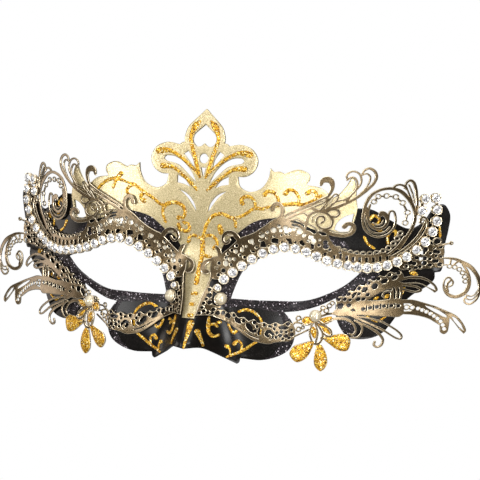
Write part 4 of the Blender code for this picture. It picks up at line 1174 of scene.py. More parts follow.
BROW_LINES = [
    wire(0.9, 5.4, 9, 8.6, 10.2, 12.4, 13.2, 16.4, 17),
    brush(6.5, 8.2, 0.9, 4.6, 8.3, 1.3, 3, 7.4, 1.6, 2.2, 5.6, 1.9, 2.8, 4, 2.2, 4, 3.6, 1.8),
    wire(0.6, 4.9, -0.9, 6.2, 1.4, 7.2, 4.4, 7.2, 6.6, 6, 8.4),
    wire(0.6, 6, 7.4, 6.4, 4.6, 5.6, 1.4, 5.2, -1.6),
    brush(8.6, 10.2, 1.4, 8.4, 12, 1.9, 7.6, 13.6, 1.6, 6.8, 14.4, 0.7),
    brush(18.2, 14.6, 1.2, 17.2, 15.8, 1.4, 16.4, 18.4, 1.6, 14.2, 20.2, 1.6, 12, 20.4, 1.5,
          10.2, 19, 1.4, 9.8, 17, 1.2, 10.9, 15.8, 1.1, 12.3, 16.2, 1.1, 12.9, 17.4, 0.9),
    wire(0.6, 11.2, 19.2, 12.6, 19, 14.6, 18.8, 16, 17.2, 16.6, 15.6),
    wire(0.75, 16.6, 16.8, 17.8, 18.1, 21.6, 19.6, 24.7, 21.3, 27.8, 23.5, 30.1, 25.4, 32.8, 27,
         34.1, 27.8),
    wire(0.75, 17.6, 15.9, 18.9, 17, 22.4, 18.4, 25.5, 20, 28.9, 22.3, 31.6, 24.3, 34.6, 26.6),
    brush(33, 26.6, 1.2, 34.4, 28.6, 1.3, 34.4, 31.2, 1.4, 33, 32.8, 1.5, 31.2, 32.4, 1.6,
          30.4, 30.4, 1.8),
    wire(0.75, 34.8, 27.6, 37.6, 29.4, 40.8, 30.9, 43.9, 32.3, 47, 33.6, 50, 35.2, 52.2, 36.4),
    wire(0.75, 35.4, 26.2, 38.2, 28.2, 41.2, 29.6, 44.4, 30.9, 47.6, 32.2, 50.2, 33.4, 52.6, 35.2),
    wire(0.5, 36.6, 28, 40.4, 30.2, 45.6, 32.3, 51, 34.8),
    brush(51.6, 35.4, 0.9, 53.2, 38, 1.3, 53.7, 40.4, 1.7, 53, 42.4, 2.4, 51.4, 43, 2.6,
          49.8, 42.3, 2, 49.3, 40.8, 1.2),
    wire(0.75, 49.6, 30.9, 51.5, 33.2, 53.3, 35.8, 55, 37.2, 56, 36.4, 55.4, 34.7, 53.5, 32.5,
         51.4, 31),
    wire(0.5, 50.6, 31.2, 52.8, 33.6, 54.4, 35.8),
    brush(46, 31.4, 0.9, 49, 30.2, 1.4, 52, 30.7, 1.5, 56, 32.1, 1.4, 60, 34, 1.3, 63.4, 36.2, 1.2,
          66.4, 38.8, 1.2, 68.6, 41.4, 1.2, 69.5, 44, 1.1, 68.6, 46.4, 1.1, 66.6, 47.4, 1,
          65, 46.5, 0.9, 64.4, 45.2, 0.8),
    wire(0.7, 61.2, 34.8, 63.6, 36.8, 65.8, 39.4, 67.1, 42, 67.2, 44.2, 66, 45.3, 64.4, 44.8),
    wire(0.8, 59, 34, 60.6, 36.6, 62.5, 38.9, 64, 41.2, 64.1, 43.6, 63.2, 45.4, 61.2, 46.3,
         59.4, 45.6, 58.7, 44.2, 59.2, 43),
    wire(0.8, 53.4, 33, 56, 34.4, 58.8, 35.1, 61.2, 37.2, 62.6, 39.6, 62.7, 42, 61.6, 43.7,
         60.2, 43.8, 59, 42.8),
    wire(0.8, 51.4, 29.7, 53.6, 30.8, 55.8, 30.8, 56.7, 29.5, 55.4, 28, 53.6, 28.2),
    brush(43.6, 22.6, 1, 44, 25, 1.1, 44.8, 28, 1.1, 46.4, 29.5, 1, 49.6, 30, 1, 52.4, 29, 1,
          54.1, 26.6, 1, 53.6, 24, 1, 51.2, 23, 1, 48.9, 24, 1, 47.9, 26.2, 0.9, 48.8, 28, 0.9,
          50.6, 28.1, 0.9, 51, 26.4, 0.9, 50, 25.6, 1.1),
    wire(0.6, 46.6, 25.8, 46.4, 27.6, 48.2, 29),
    brush(36.2, 26.8, 0.7, 38.6, 27.7, 0.7, 41, 29, 0.8, 43.2, 29.3, 0.8, 44.6, 28, 0.8,
          44.3, 26.2, 0.8, 42.9, 25.3, 0.8, 41.7, 26, 0.9),
    wire(0.6, 37.6, 26.3, 40.6, 26.7, 44, 25, 47.2, 23.8, 48.2, 22),
    brush(51, 22.6, 1.6, 53.4, 21.2, 1.5, 56.4, 20.5, 1.5, 58.8, 20.4, 1.5, 61, 21.2, 1.5,
          62.1, 22.9, 1.5, 61.6, 24.7, 1.6, 59.8, 25.1, 1.7, 58.5, 24, 2),
    wire(0.5, 52.6, 22.6, 55.6, 21.8, 58, 21.7, 60.2, 22, 60.8, 23.4),
]
LOW_CHAIN = pairs(56.4, 15, 59.8, 13.7, 64, 12.9, 69, 12.9, 73.2, 14.1, 76.4, 17.2, 78.4, 20.8)
HIGH_CHAIN = pairs(80, 25, 80.7, 29.2, 78.9, 33.2, 76.4, 35.7, 73.2, 36.2, 70.3, 36, 68.9, 34)
TEMPLE_LINES = [
    brush(78, 14.8, 1.3, 79.2, 16.8, 1.3, 80.8, 19.6, 1.2, 82.4, 22.8, 1.2, 83.3, 26, 1.3,
          83.3, 29.2, 1.3, 82.2, 32.4, 1.3, 80.5, 35.3, 1.4, 78.3, 37.7, 1.5, 75.6, 39, 1.3,
          73, 39.1, 1.2, 70.2, 38.3, 1.2, 67.9, 36.6, 1.3, 66.4, 34, 1.3, 65.5, 30.9, 1.2,
          65, 27.4, 0.9, 65.4, 24, 0.9, 66.6, 21.8, 0.9, 68.6, 20.2, 0.9, 70.9, 19.6, 0.9,
          73.6, 20.4, 0.9, 75.5, 22.2, 0.9, 76.5, 24.6, 0.9, 76.6, 27.4, 0.8, 76, 29.6, 0.8,
          75.2, 30.1, 0.8, 74.4, 29.4, 0.8, 74.1, 27, 0.8),
    wire(0.7, 66.5, 31.6, 66, 27.8, 66.5, 24.4, 67.8, 22.2, 70.2, 21.1, 72.8, 21.6, 74.6, 23.4),
    brush(67.6, 32.8, 0.8, 66.9, 29.4, 1, 67.3, 25.8, 1.1, 68.7, 23.6, 1.2, 70.9, 22.9, 1.2,
          73, 24, 1.2, 73.8, 26.2, 1.3, 73.2, 28.3, 1.8, 71.8, 29.2, 2, 71, 28.2, 1.4),
    wire(0.6, 68.8, 25.4, 70, 24.4, 71.6, 24.8, 72.3, 26.2),
    wire(0.9, 75.4, 39.1, 76.2, 40.2, 77.6, 40.6, 79.2, 40, 80.2, 38.6),
    brush(79.4, 39.2, 0.8, 80.1, 41.4, 0.9, 81.3, 42.2, 1.1, 82.5, 41.3, 1.1, 83.3, 38.8, 1.1,
          83.8, 35.6, 1.1, 84, 32.4, 1, 83.6, 29.6, 0.8),
    wire(0.6, 79.9, 39.8, 81, 36.8, 82.2, 33.6),
    wire(0.6, 80.8, 40.6, 82.2, 37, 83.1, 33),
    brush(73, 11.4, 0.9, 76, 13.8, 1, 78.2, 16.4, 1, 79.8, 19.4, 0.7),
    brush(75, 11, 0.9, 78.4, 13.2, 0.9, 81.6, 16, 0.9, 84.3, 19.3, 0.9, 85.9, 22.2, 0.9,
          86.8, 24.4, 0.8),
    wire(0.8, 77.8, 11.6, 80.2, 13.2, 83.3, 16, 86.2, 19.6, 87.6, 22.8, 87.7, 25.4, 86.6, 27.1,
         85.3, 26.4, 85.2, 24.8),
    wire(0.7, 88.4, 14.4, 91, 15, 93.8, 15.6, 96.2, 16.2),
]
TEMPLE_RINGS = triples(91.4, 16.9, 1.5, 96.4, 16.2, 0.55, 79.2, 7, 0.8, 86.2, 25.2, 0.8)
TEMPLE_LACE = joined(
    pairs(78.8, 8.6, 78.6, 6.8, 79.8, 5.6, 81, 5.8, 82, 4.6, 83.4, 5, 84.6, 5.6, 85.8, 5.2, 87, 6,
          88.4, 5.8, 89.6, 5.9, 91, 6.3, 92.4, 5.9, 93.7, 6.4, 94.2, 7.8),
    pairs(93.9, 10.4, 94.2, 12.6, 93.6, 15.2, 92.6, 16.4),
    pairs(90.4, 15.6, 88.2, 16, 86, 15.4, 83.6, 12.6, 81, 10.4, 78.8, 8.6),
)
TEMPLE_LACE_HOLES = triples(
    80.4, 7.1, 0.6, 82, 8.6, 0.75, 83.4, 8.2, 0.6, 81.9, 5.8, 0.5, 83.9, 6.3, 0.55, 85.4, 6.8, 0.5,
    84.2, 10.6, 0.6, 85.5, 10, 0.5, 86.9, 8.2, 0.8, 87, 10.2, 0.7, 86.4, 12.6, 0.75,
    87.2, 13.8, 0.75, 88.9, 7.3, 0.55, 89, 12.2, 0.4, 90.4, 8.9, 0.65, 91.4, 8.9, 0.65, 91, 11, 0.4,
    90.7, 12.9, 0.65, 91.8, 12.6, 0.6, 92.7, 7.3, 0.65, 90.2, 14.6, 0.5, 92.6, 14.6, 0.5,
    88.9, 9.9, 0.45, 92.9, 10.6, 0.35
)


def lower_edge():
    """Lower edge of the brow band, just under the middle of the stones."""
    return beside(even_places(STONE_LINE, 45, BAND_SHARE), -BAND_REACH)


def bar(foot, top, half):
    """Upright four-cornered slot between two points."""
    return [(foot[0] - half, foot[1]), (foot[0] + half, foot[1]),
            (top[0] + half, top[1]), (top[0] - half, top[1])]


def teeth_gaps():
    """Upright slots between the ring row and the stones."""
    tops = even_places(TEETH_TOP, TEETH_COUNT)
    feet = even_places(TEETH_FOOT, TEETH_COUNT)
    return [bar(foot, top, TOOTH_HALF) for top, foot in zip(tops, feet)]


def brow_drawing():
    """Brow plate: pierced band, hooks, plume, round temple curl and its ribs."""
    outer = fair(BAND_FOOT)[::-1] + fair(BAND_TOP)[::-1][1:] + fair(BAND_NOSE)[::-1][1:-1]
    holes = GAPS + LEAF_SLITS + teeth_gaps() + round_holes(ROUND_HOLES, HOLE_GROW, 12)
    holes += [circle(p[0], p[1], ROW_HOLE_R, 8) for p in even_places(RING_ROW, 11)]
    drawing = Drawing()
    drawing.area(lower_edge() + outer, holes)
    places = stone_places()
    for x, z, _, _ in places:
        drawing.area(circle(x, z, CUP_SEAT_R, 12))
    rail = flat_points(places[RAIL_FROM:STONES_PER_ROW])
    drawing.stroke(rail + INNER_STONES + [RAIL_END], RAIL_WIDTH)
    drawing.strokes(BROW_LINES)
    drawing.strokes(TEMPLE_LINES)
    drawing.rings(even_places(LOW_CHAIN, 12), *LOW_RING)
    drawing.rings(HIGH_CHAIN, *HIGH_RING)
    for a, b in zip(HIGH_CHAIN, HIGH_CHAIN[1:]):
        drawing.stroke([between(a, b, share) for share in LINK_ENDS], LINK_WIDTH)
    drawing.area(outline(TEMPLE_LACE), round_holes(TEMPLE_LACE_HOLES, HOLE_GROW))
    drawing.loose_rings(TEMPLE_RINGS)
    return drawing


NOSE_LACE = joined(
    pairs(4.9, -1.3, 4.1, -3.6, 3.3, -6.7, 2.8, -10.2, 2.6, -13),
    pairs(5.8, -13, 8.9, -13.8, 11.6, -15, 14.3, -16.4, 17, -18.1, 20, -20.2, 24, -22.4,
          27.8, -23.6, 31.6, -23.9, 34, -23.2, 36.6, -22.8, 39.3, -22.5, 41.2, -21.3),
    pairs(41.8, -19.4, 41.4, -17, 40.4, -15.4),
    pairs(38.7, -14.6, 36.4, -16, 33.9, -15.2, 31.4, -16.2, 29.3, -15.3, 27, -15.8, 25, -14.4,
          22.8, -15.2, 20.7, -13.8, 18.4, -14, 16.2, -12, 14, -12.4, 11.8, -11.2, 10, -11, 8, -10),
    pairs(7.2, -8.4, 7, -5.6, 7.2, -3.4, 7, -1.5),
)
LACE_HOLES = triples(
    5.8, -3.2, 0.5, 6, -5.5, 0.75, 6.4, -8.2, 0.6, 8, -10.9, 0.55, 4.9, -11.4, 0.45,
    3.7, -12.1, 0.4, 6.3, -12.1, 0.4, 7.7, -12.3, 0.4, 9.6, -12.5, 0.7, 11.8, -12.4, 0.6,
    13.9, -13.6, 1, 16.4, -13.2, 0.5, 20.6, -15.2, 0.6, 25.3, -15.6, 0.6, 26.4, -17.2, 0.4,
    29.3, -16.4, 0.55, 31.6, -17.2, 0.6, 33.8, -16.2, 0.5, 33.4, -18, 0.4, 38.7, -15.6, 0.6,
    36, -20.4, 0.55, 38.2, -20.5, 0.55, 40.4, -19.8, 0.55, 34.6, -19.4, 0.35, 34.4, -21.2, 0.35,
    37, -21.7, 0.35, 39.3, -21.2, 0.35, 31.5, -20.2, 1.9, 25.7, -19, 0.5, 36.4, -18.9, 0.3,
    38.2, -18.9, 0.3, 40.2, -18, 0.3, 4.5, -8.4, 0.35, 4.2, -10, 0.35, 5.2, -6.8, 0.3
)
LACE_SLOTS = [
    pairs(16.6, -14.2, 17.6, -13.7, 19, -14.4, 20, -16.4, 19, -16.6, 17.2, -15.8),
    pairs(21.6, -16, 23.2, -16, 24.6, -17.4, 25.4, -20.2, 23.4, -19.2, 21.8, -17.6),
    pairs(27.2, -17.6, 28.6, -18, 28.2, -20.4, 27, -20.8, 26.6, -19.8),
    pairs(35, -17, 36.4, -16.5, 38.4, -16.6, 39.1, -17.4, 38, -18, 35.8, -17.9),
    pairs(14.6, -15.2, 17, -16.8, 20.4, -18.7, 24.4, -20.7, 27.6, -21.8, 27.4, -22.1, 24, -21.1,
          20, -19.2, 16.6, -17.2),
]
LACE_LINES = [
    wire(0.9, 31.4, -22.3, 29.6, -21.2, 29.3, -19.4, 30.4, -18, 32.2, -17.9, 33.4, -19),
    wire(0.8, 30, -21.2, 31.2, -21.8, 32.4, -20.8, 31.6, -20),
    wire(0.5, 13.2, -14.4, 16.2, -16.2, 20, -18.3, 24, -20.2, 27.8, -21.3),
    wire(0.9, 8.4, -13.2, 14.4, -15.9, 20.2, -19.4, 25.2, -22.2, 30.2, -23.3, 33.6, -22.6),
    wire(0.7, 41, -15, 43, -15, 45, -15.6, 48, -15.6),
    wire(0.7, 41.4, -20.5, 44.7, -18.9, 47.6, -17.4),
    wire(0.7, 40.6, -15.8, 43.4, -13.6, 46, -13.4, 48.4, -12.8),
    wire(0.8, 6.6, -4.2, 7.4, -2.8, 8.6, -2.7),
    wire(0.8, 7.2, -9.4, 8.4, -10, 10.3, -10),
]
LACE_RINGS = triples(42.7, -13.2, 0.9, 42.9, -17.6, 0.9, 44.6, -16.8, 0.6, 8.6, -2.7, 1.4)


def nose_lace_drawing():
    """Pierced lace from the side of the nose to the cheek, with its tie to the cheek rivet."""
    drawing = Drawing()
    drawing.area(outline(NOSE_LACE), round_holes(LACE_HOLES, LACE_GROW) + LACE_SLOTS)
    drawing.strokes(LACE_LINES)
    drawing.loose_rings(LACE_RINGS)
    drawing.ring(*NOSE_STUD_AT, *NOSE_EYELET)
    drawing.ring(*CHEEK_STUD_AT, *CHEEK_EYELET)
    return drawing


WING_BODY = joined(
    pairs(56.8, -6, 58.2, -4, 60, -4.2, 61.4, -1.8, 63.2, -2, 64.8, 0.4, 66.6, 0.2, 68.2, 2.4,
          70, 1.8, 71.6, 3.8, 73.4, 3.4, 75.2, 5.2, 77, 4.6, 78.4, 5.6),
    pairs(79.6, 4.4, 80.2, 2.8),
    pairs(83.2, 3.2, 86.8, 2.6, 89.6, 1, 91.8, -1, 92.6, -3, 91.6, -4),
    pairs(89.6, -2.4, 86.6, -0.4, 84.4, 0, 80, -0.4),
    pairs(80.2, -3, 80, -6.2),
    pairs(84, -6.4, 88, -7.8, 92, -9.3, 96, -11.2, 99.8, -13.2, 102.2, -16.2, 103.4, -19.4,
          102.6, -20.6),
    pairs(101, -18.8, 98.8, -15.6, 97.6, -14.2),
    pairs(97.5, -17.2, 97, -20, 95.8, -20.8, 94.5, -20, 94.2, -17.2),
    pairs(91, -15, 88.6, -13.8, 84.4, -12.6, 81, -12.2),
    pairs(79.6, -13.2, 76, -12.8, 71, -12.4, 65.6, -11.8),
    pairs(62, -12.2, 58, -12.2, 56.4, -11.6),
    pairs(56.2, -10.4, 57.4, -9, 56.8, -6),
)
WING_HOLES = triples(
    58, -5.3, 0.5, 60.1, -5.3, 0.5, 61.3, -3.2, 0.5, 64.8, -1, 0.5, 68.1, 1.1, 0.5, 71.4, 2.6, 0.5,
    75.1, 4, 0.5, 78.2, 4.6, 0.5, 65, -5.3, 0.65, 66.9, -5.3, 0.45, 61.9, -7.8, 0.55,
    68.3, -3.6, 0.45, 65.1, -3.2, 0.35, 62.1, -5.6, 0.35
)
WING_SLOTS = [
    pairs(57.6, -7.2, 59.2, -6.8, 60, -7.8, 59.2, -9.4, 57.8, -9.2),
    pairs(62.6, -3.4, 63.4, -2.6, 64.4, -2.4, 63.4, -4.8, 62.8, -5),
    pairs(66, -1.8, 66.5, -0.6, 67.8, -0.6, 68, -1.8, 67.2, -2.6, 66.2, -2.5),
    pairs(69.2, -0.6, 69.6, 0.6, 70.8, 1, 71.5, 0, 71.2, -1.2, 70, -1.6),
    pairs(72.2, 1.2, 72.9, 2.4, 74.2, 2.8, 74.8, 1.8, 74.2, 0.8, 72.9, 0.5),
    pairs(75.8, 2.4, 76.4, 3.6, 77.6, 3.9, 78.2, 3, 77.4, 2.1, 76.2, 1.8),
    pairs(76.7, -0.9, 77.3, -1.2, 77.9, -3, 78, -5.7, 77.4, -5.7, 77.2, -3.2),
    pairs(78.2, -0.9, 78.8, -1.4, 79.3, -3.2, 79.3, -5.7, 78.7, -5.7, 78.6, -3.2),
    pairs(62.6, -9.8, 63.6, -9.2, 64.5, -10.2, 63.4, -10.2),
    pairs(68.2, -6, 71.4, -3.6, 74.6, -1.8, 76.6, -1.6, 76, -3.4, 76.2, -5.8, 72, -6.2),
    pairs(78.4, 1.3, 82, 2.1, 86.2, 1.8, 88.8, 0.7, 91.1, -1.4, 91.8, -3, 89.8, -2, 86.8, -0.1,
          84.6, 0.6, 80.4, 0.5),
    pairs(88.4, -9, 90.6, -9.7, 93.6, -11.2, 96.2, -13.1, 96.6, -14.1, 95.2, -13.6, 92.2, -11.9,
          89.4, -10),
    pairs(98.2, -13.5, 99.7, -14.3, 101.6, -16.8, 102.6, -19.4, 100.9, -17.8, 99.1, -15.4),
]
WING_LINES = [
    brush(77.6, 0.2, 1, 80.4, -0.2, 0.8, 83.2, -0.8, 0.8, 85.6, -1.6, 0.9, 86.6, -2.8, 1,
          84.8, -3.4, 0.9, 82, -2.6, 0.8, 79.2, -1.6, 0.8),
    wire(0.7, 76.2, -6, 76.9, -4.2, 75.7, -2.6, 74, -2.8, 73.4, -4.1, 74, -4.9),
    brush(56.4, -11.2, 0.9, 60, -10.7, 1, 63, -11.8, 1.1, 65, -13, 1.2),
    brush(54.4, -13.6, 0.9, 57.6, -13.1, 1.2, 61.2, -13.4, 1.3, 63.6, -15, 0.9, 64.8, -17, 0.8,
          64.8, -18.7, 0.8, 63.8, -19.7, 0.8, 62.8, -19.3, 0.8),
    wire(0.8, 65.4, -14.4, 67.2, -16.8, 66.8, -19.4, 65.2, -20.9, 63.4, -20.8),
    wire(0.75, 64, -12.2, 69.6, -13.2, 73.8, -14.8, 76.8, -16.7, 79.2, -18.6, 80.9, -20.8,
         80.6, -22, 79.2, -21.7, 76.8, -20, 74.4, -18, 70.4, -15.7, 65.4, -13.2),
    brush(64.4, -14, 0.8, 68.2, -16, 0.9, 71.6, -18.2, 1, 73.8, -20.4, 1, 74.6, -22.2, 0.9,
          74, -24.2, 0.9, 72.6, -24.9, 0.9, 71.5, -24, 0.9, 71.8, -22.7, 0.9),
    wire(0.5, 67, -14.3, 71, -16.3, 75, -18.8),
]
WING_RINGS = triples(52.2, -8.9, 0.8, 54.6, -8, 0.9, 53.6, -10, 0.9, 55.6, -6.9, 0.8)
BODY_ROW = pairs(67.2, -9.5, 70, -9, 73, -8.7, 76, -8.5, 79.2, -8.7)
FEATHER_ROOT = pairs(81, -7.9, 83, -8, 84.6, -8.8, 84.9, -10.2, 83.6, -10.9, 81.2, -11)
FEATHER_RINGS = pairs(82, -9.4, 84, -9.6)
FEATHER_ROW = pairs(86, -10.1, 89, -11.5, 92.2, -13.6, 94.6, -15.8, 95.8, -18.6)
WING_TIES = [
    wire(0.8, 51, -11, 52, -9.6),
    wire(0.9, 51.2, -12.4, 54, -11.4, 57.2, -11),
]
WING_ROW_R = 0.68
BAR_HALF = 0.225
BAR_LEAN = 0.025
BAR_REACH = 1.0
TIE_CLIMB = (56.0, 3.0)


def cheek_lift(x, _):
    """The wing's tie climbs one layer where it passes over the end of the nose lace."""
    return PLATE_LIFT + LAYER_STEP * ease((TIE_CLIMB[0] - x) / TIE_CLIMB[1])


def cheek_wing_drawing():
    """Cheek wing: scalloped body, long feathers, hooks and the tie to the cheek rivet."""
    row = even_places(BODY_ROW, 6)
    holes = round_holes(WING_HOLES, LACE_GROW) + WING_SLOTS
    holes += [circle(p[0], p[1], WING_ROW_R, 10) for p in row + even_places(FEATHER_ROW, 9)]
    holes.append(FEATHER_ROOT)
    for a, b in zip(row, row[1:]):
        x, z, _, _ = between(a, b, 0.5)
        holes.append(bar((x + BAR_LEAN, z - BAR_REACH), (x - BAR_LEAN, z + BAR_REACH), BAR_HALF))
    drawing = Drawing()
    drawing.area(outline(WING_BODY), holes)
    drawing.strokes(WING_LINES)
    drawing.loose_rings(WING_RINGS)
    drawing.rings(FEATHER_RINGS, *FEATHER_RING)
    drawing.ring(*CHEEK_STUD_AT, *CHEEK_EYELET)
    drawing.strokes(WING_TIES)
    return drawing


SCROLL_LINES = [
    brush(93.6, 10, 0.7, 96, 9.9, 0.9, 98.4, 9.4, 1.2, 100.6, 8.2, 1.6, 103.2, 6.4, 1.6,
          105.3, 3.6, 1.4, 106.6, 0.4, 1.4, 107, -2.8, 1.1, 106.7, -5.6, 0.8, 105.5, -7.7, 0.8,
          103.8, -8.7, 0.8, 102.4, -8, 0.7, 102.1, -6.6, 0.7, 102.9, -5.2, 0.7),
    wire(0.55, 106.5, -3, 105.3, -5, 104, -5.5, 102.8, -5),
    wire(0.55, 106.7, -4.2, 105.3, -6.3, 103.8, -6.9, 102.6, -6.2),
    brush(100.6, 7.4, 0.8, 102.2, 4.8, 1, 103.2, 1.4, 1.2, 103.1, -1.8, 1.4, 101.8, -4.4, 1.5,
          99, -5.7, 1.5, 96.6, -4.9, 1.4, 95, -2.9, 1, 94.5, -0.3, 0.7, 95.1, 1.6, 0.7,
          96.3, 2.1, 0.8, 97.1, 1.3, 0.7, 97.8, 0.2, 0.7, 97.5, -1, 0.7, 96.5, -1.7, 0.6),
    wire(0.9, 96.3, -3.6, 95.8, -1.8, 96, -0.2, 96.9, 0.9),
    wire(0.6, 95.4, -1.2, 95.9, -3),
    wire(0.8, 96.3, 7.6, 96.5, 9.6),
    wire(0.8, 97.4, 7, 98, 7.6, 99.4, 9),
    wire(0.6, 93.4, 7.1, 95, 7.2),
    wire(0.7, 101.1, 4.6, 102.6, 3.6),
]
SCROLL_CHAIN = pairs(96.1, 6.6, 98.7, 6, 100.2, 4.7, 101.4, 2.9, 101.9, 0.6)


def temple_scroll_drawing():
    """Open scroll with a chain of rings along its inner line."""
    drawing = Drawing()
    drawing.strokes(SCROLL_LINES)
    drawing.rings(even_places(SCROLL_CHAIN, 6), *SCROLL_RING)
    return drawing


PLATE_EDGE = -0.10
# The raised rim strip takes the bright gold: partly polished metal, partly a painted edge
# highlight.
PLATE_RIMS = [(0.17, 0.0, POLISH_AND_EDGE_HIGHLIGHT), (0.08, -0.16, FIELD)]
PLATES = [
    ("brow_plate", "brow_filigree", brow_drawing, PLATE_LIFT),
    ("nose_lace_plate", "nose_lace", nose_lace_drawing, PLATE_LIFT),
    ("cheek_wing_plate", "cheek_wing", cheek_wing_drawing, cheek_lift),
    ("temple_scroll_plate", "temple_scroll", temple_scroll_drawing, PLATE_LIFT),
]


def make_plates():
    """Etched plates with raised bright edges, partly a painted highlight of edges catching light,
    and a sunk aged field.
    """
    for stem, node, draw, lift in PLATES:
        plate = lay(stem, draw(), METALS, lift, PLATE_THICK, start=PLATE_EDGE, rims=PLATE_RIMS,
                    back=FIELD, edge=FIELD)
        both_sides(plate, stem, "antique_gold", node)


# ---------------------------------------------------------------- flowers

PETALS = [
    pairs(49.4, -21.8, 45, -22.6, 40.6, -24.4, 39.4, -27.4, 41.8, -30.6, 45.2, -29.4, 48.2, -25.6),
    pairs(50.8, -23, 49.7, -27, 49.7, -31.6, 52.2, -34.2, 54.5, -31.4, 54.2, -27, 52, -23),
    pairs(53, -20.6, 56.6, -19.4, 61, -19.2, 62.9, -21.4, 61.8, -25.6, 59.4, -25.8, 55.6, -23.4),
    pairs(48.6, -14.8, 46, -15.8, 43.6, -14.6, 44.4, -12.6, 46.6, -12.4, 48.2, -13.6),
    pairs(50.8, -13.9, 53, -12.6, 55.8, -12.3, 55.4, -13.8, 52.8, -15),
]
INNER_LEAVES = [
    pairs(47.2, -17.2, 49, -16.2, 50.4, -17.8, 50.6, -20.2, 49.6, -21, 48.2, -19.6),
    pairs(50.8, -15.4, 53.4, -16.2, 55.2, -17.8, 55.4, -19.4, 53.6, -18.6, 51.8, -17.2),
]
KNOT_LINES = [
    wire(0.9, 49.2, -14.2, 47.6, -16.6, 47.2, -18.8, 47.9, -21, 49.7, -22.9, 51.4, -22.7,
         52.6, -20.8, 52.6, -18.4, 51.2, -16.2, 50.2, -14.4),
    wire(0.8, 50, -16, 50.9, -18.6, 50.6, -21, 50.2, -22.4),
    wire(0.8, 50.4, -15, 53.6, -15.9, 55.6, -17.6, 55.8, -19.8, 54.4, -19.8, 52.4, -18.2),
    wire(0.7, 48.8, -13.8, 46.6, -15.6, 44.2, -15.6),
    wire(0.7, 50.8, -14, 53.2, -15.2, 55.8, -13.9),
    wire(1.3, 49.6, -13.4, 50, -15.6),
    wire(0.9, 52.2, -20.6, 54, -21),
]


PETAL_MATS = [GOLD_GLITTER, BRIGHT, ANTIQUE]
PETAL_THICK = 0.6
PETAL_EDGE = -0.05
PETAL_RIMS = [(0.14, 0.02, 1), (0.10, -0.04, 0), (0.5, 0.22, 0), (0.6, 0.36, 0)]
KNOT_LIFT = FLOWER_LIFT + 0.4
KNOT_THICK = 0.7
KNOT_EDGE = -0.06
# The knot's rim strip and sides take the bright gold, partly a painted edge highlight.
KNOT_RIMS = [(0.16, 0.0, POLISH_AND_EDGE_HIGHLIGHT), (0.08, -0.10, FIELD)]


def make_flowers():
    """Glitter petals with a thin bright border, and the bent metal knot over them."""
    petals = Drawing()
    for petal in PETALS + INNER_LEAVES:
        petals.area(fair_loop(petal))
    flower = lay("petals", petals, PETAL_MATS, FLOWER_LIFT, PETAL_THICK, start=PETAL_EDGE,
                 rims=PETAL_RIMS, back=PETAL_MATS.index(ANTIQUE), edge=PETAL_MATS.index(BRIGHT))
    both_sides(flower, "flower_petals", "glitter_gold", "glitter_flower")
    knot = Drawing()
    knot.strokes(KNOT_LINES)
    knot.ring(*CHEEK_STUD_AT, *CHEEK_EYELET)
    wires = lay("knot", knot, METALS, KNOT_LIFT, KNOT_THICK, start=KNOT_EDGE, rims=KNOT_RIMS,
                back=FIELD, edge=POLISH_AND_EDGE_HIGHLIGHT)
    both_sides(wires, "flower_knot", "antique_gold")


# ---------------------------------------------------------------- stones

# Rings of a stone from the table down: share of its radius, height, corners, first angle.
CROWN = ((0.58, 0.80, 8, 22.5), (0.80, 0.46, 8, 0.0), (1.0, 0.0, 16, 0.0), (0.27, 0.52, 8, 0.0))
STAR_TIP = 0.70
STONE_FOOT = -0.5
GEM_SHARP_DEG = 5.0
STONE_LIFT = STONE_SEAT + 0.55
STONE_TURN = 17.0
GEM_LIFT = PLATE_LIFT + 1.15
GEM_R = NOSE_GEM_R - 0.25
GEM_TURN = 10.0
CUP_PROFILE = [(STONE_R - 0.05, 0.52), (CUP_R - 0.08, 0.60), (CUP_R, 0.45), (CUP_R, -0.35),
               (STONE_R, -0.35), (0.0, -0.35)]
PRONG_PROFILE = [(0.0, 0.98), (0.2, 0.9), (0.3, 0.6), (0.3, 0.2), (0.0, 0.1)]
PRONG_DEGS = (45.0, 135.0, 225.0, 315.0)
PRONG_REACH = CUP_R - 0.22
GEM_CUP_PROFILE = [(NOSE_GEM_R - 0.3, 1.2), (NOSE_GEM_R - 0.08, 1.3), (NOSE_GEM_R, 1.1),
                   (NOSE_GEM_R, 0.2), (0.0, 0.2)]


def stone_places():
    """Centres of the stones of one row and of the two inside its upper end, with the line's normal.

    The stone line gives every second stone; the others sit half way along the curve between them.
    """
    line = smooth(STONE_LINE, 2)
    out = []
    for i, (x, z) in enumerate(line):
        a = line[max(i - 1, 0)]
        b = line[min(i + 1, len(line) - 1)]
        out.append((x, z, -(b[1] - a[1]) / span(a, b), (b[0] - a[0]) / span(a, b)))
    return out + [(x, z, 1.0, 0.0) for x, z in INNER_STONES]


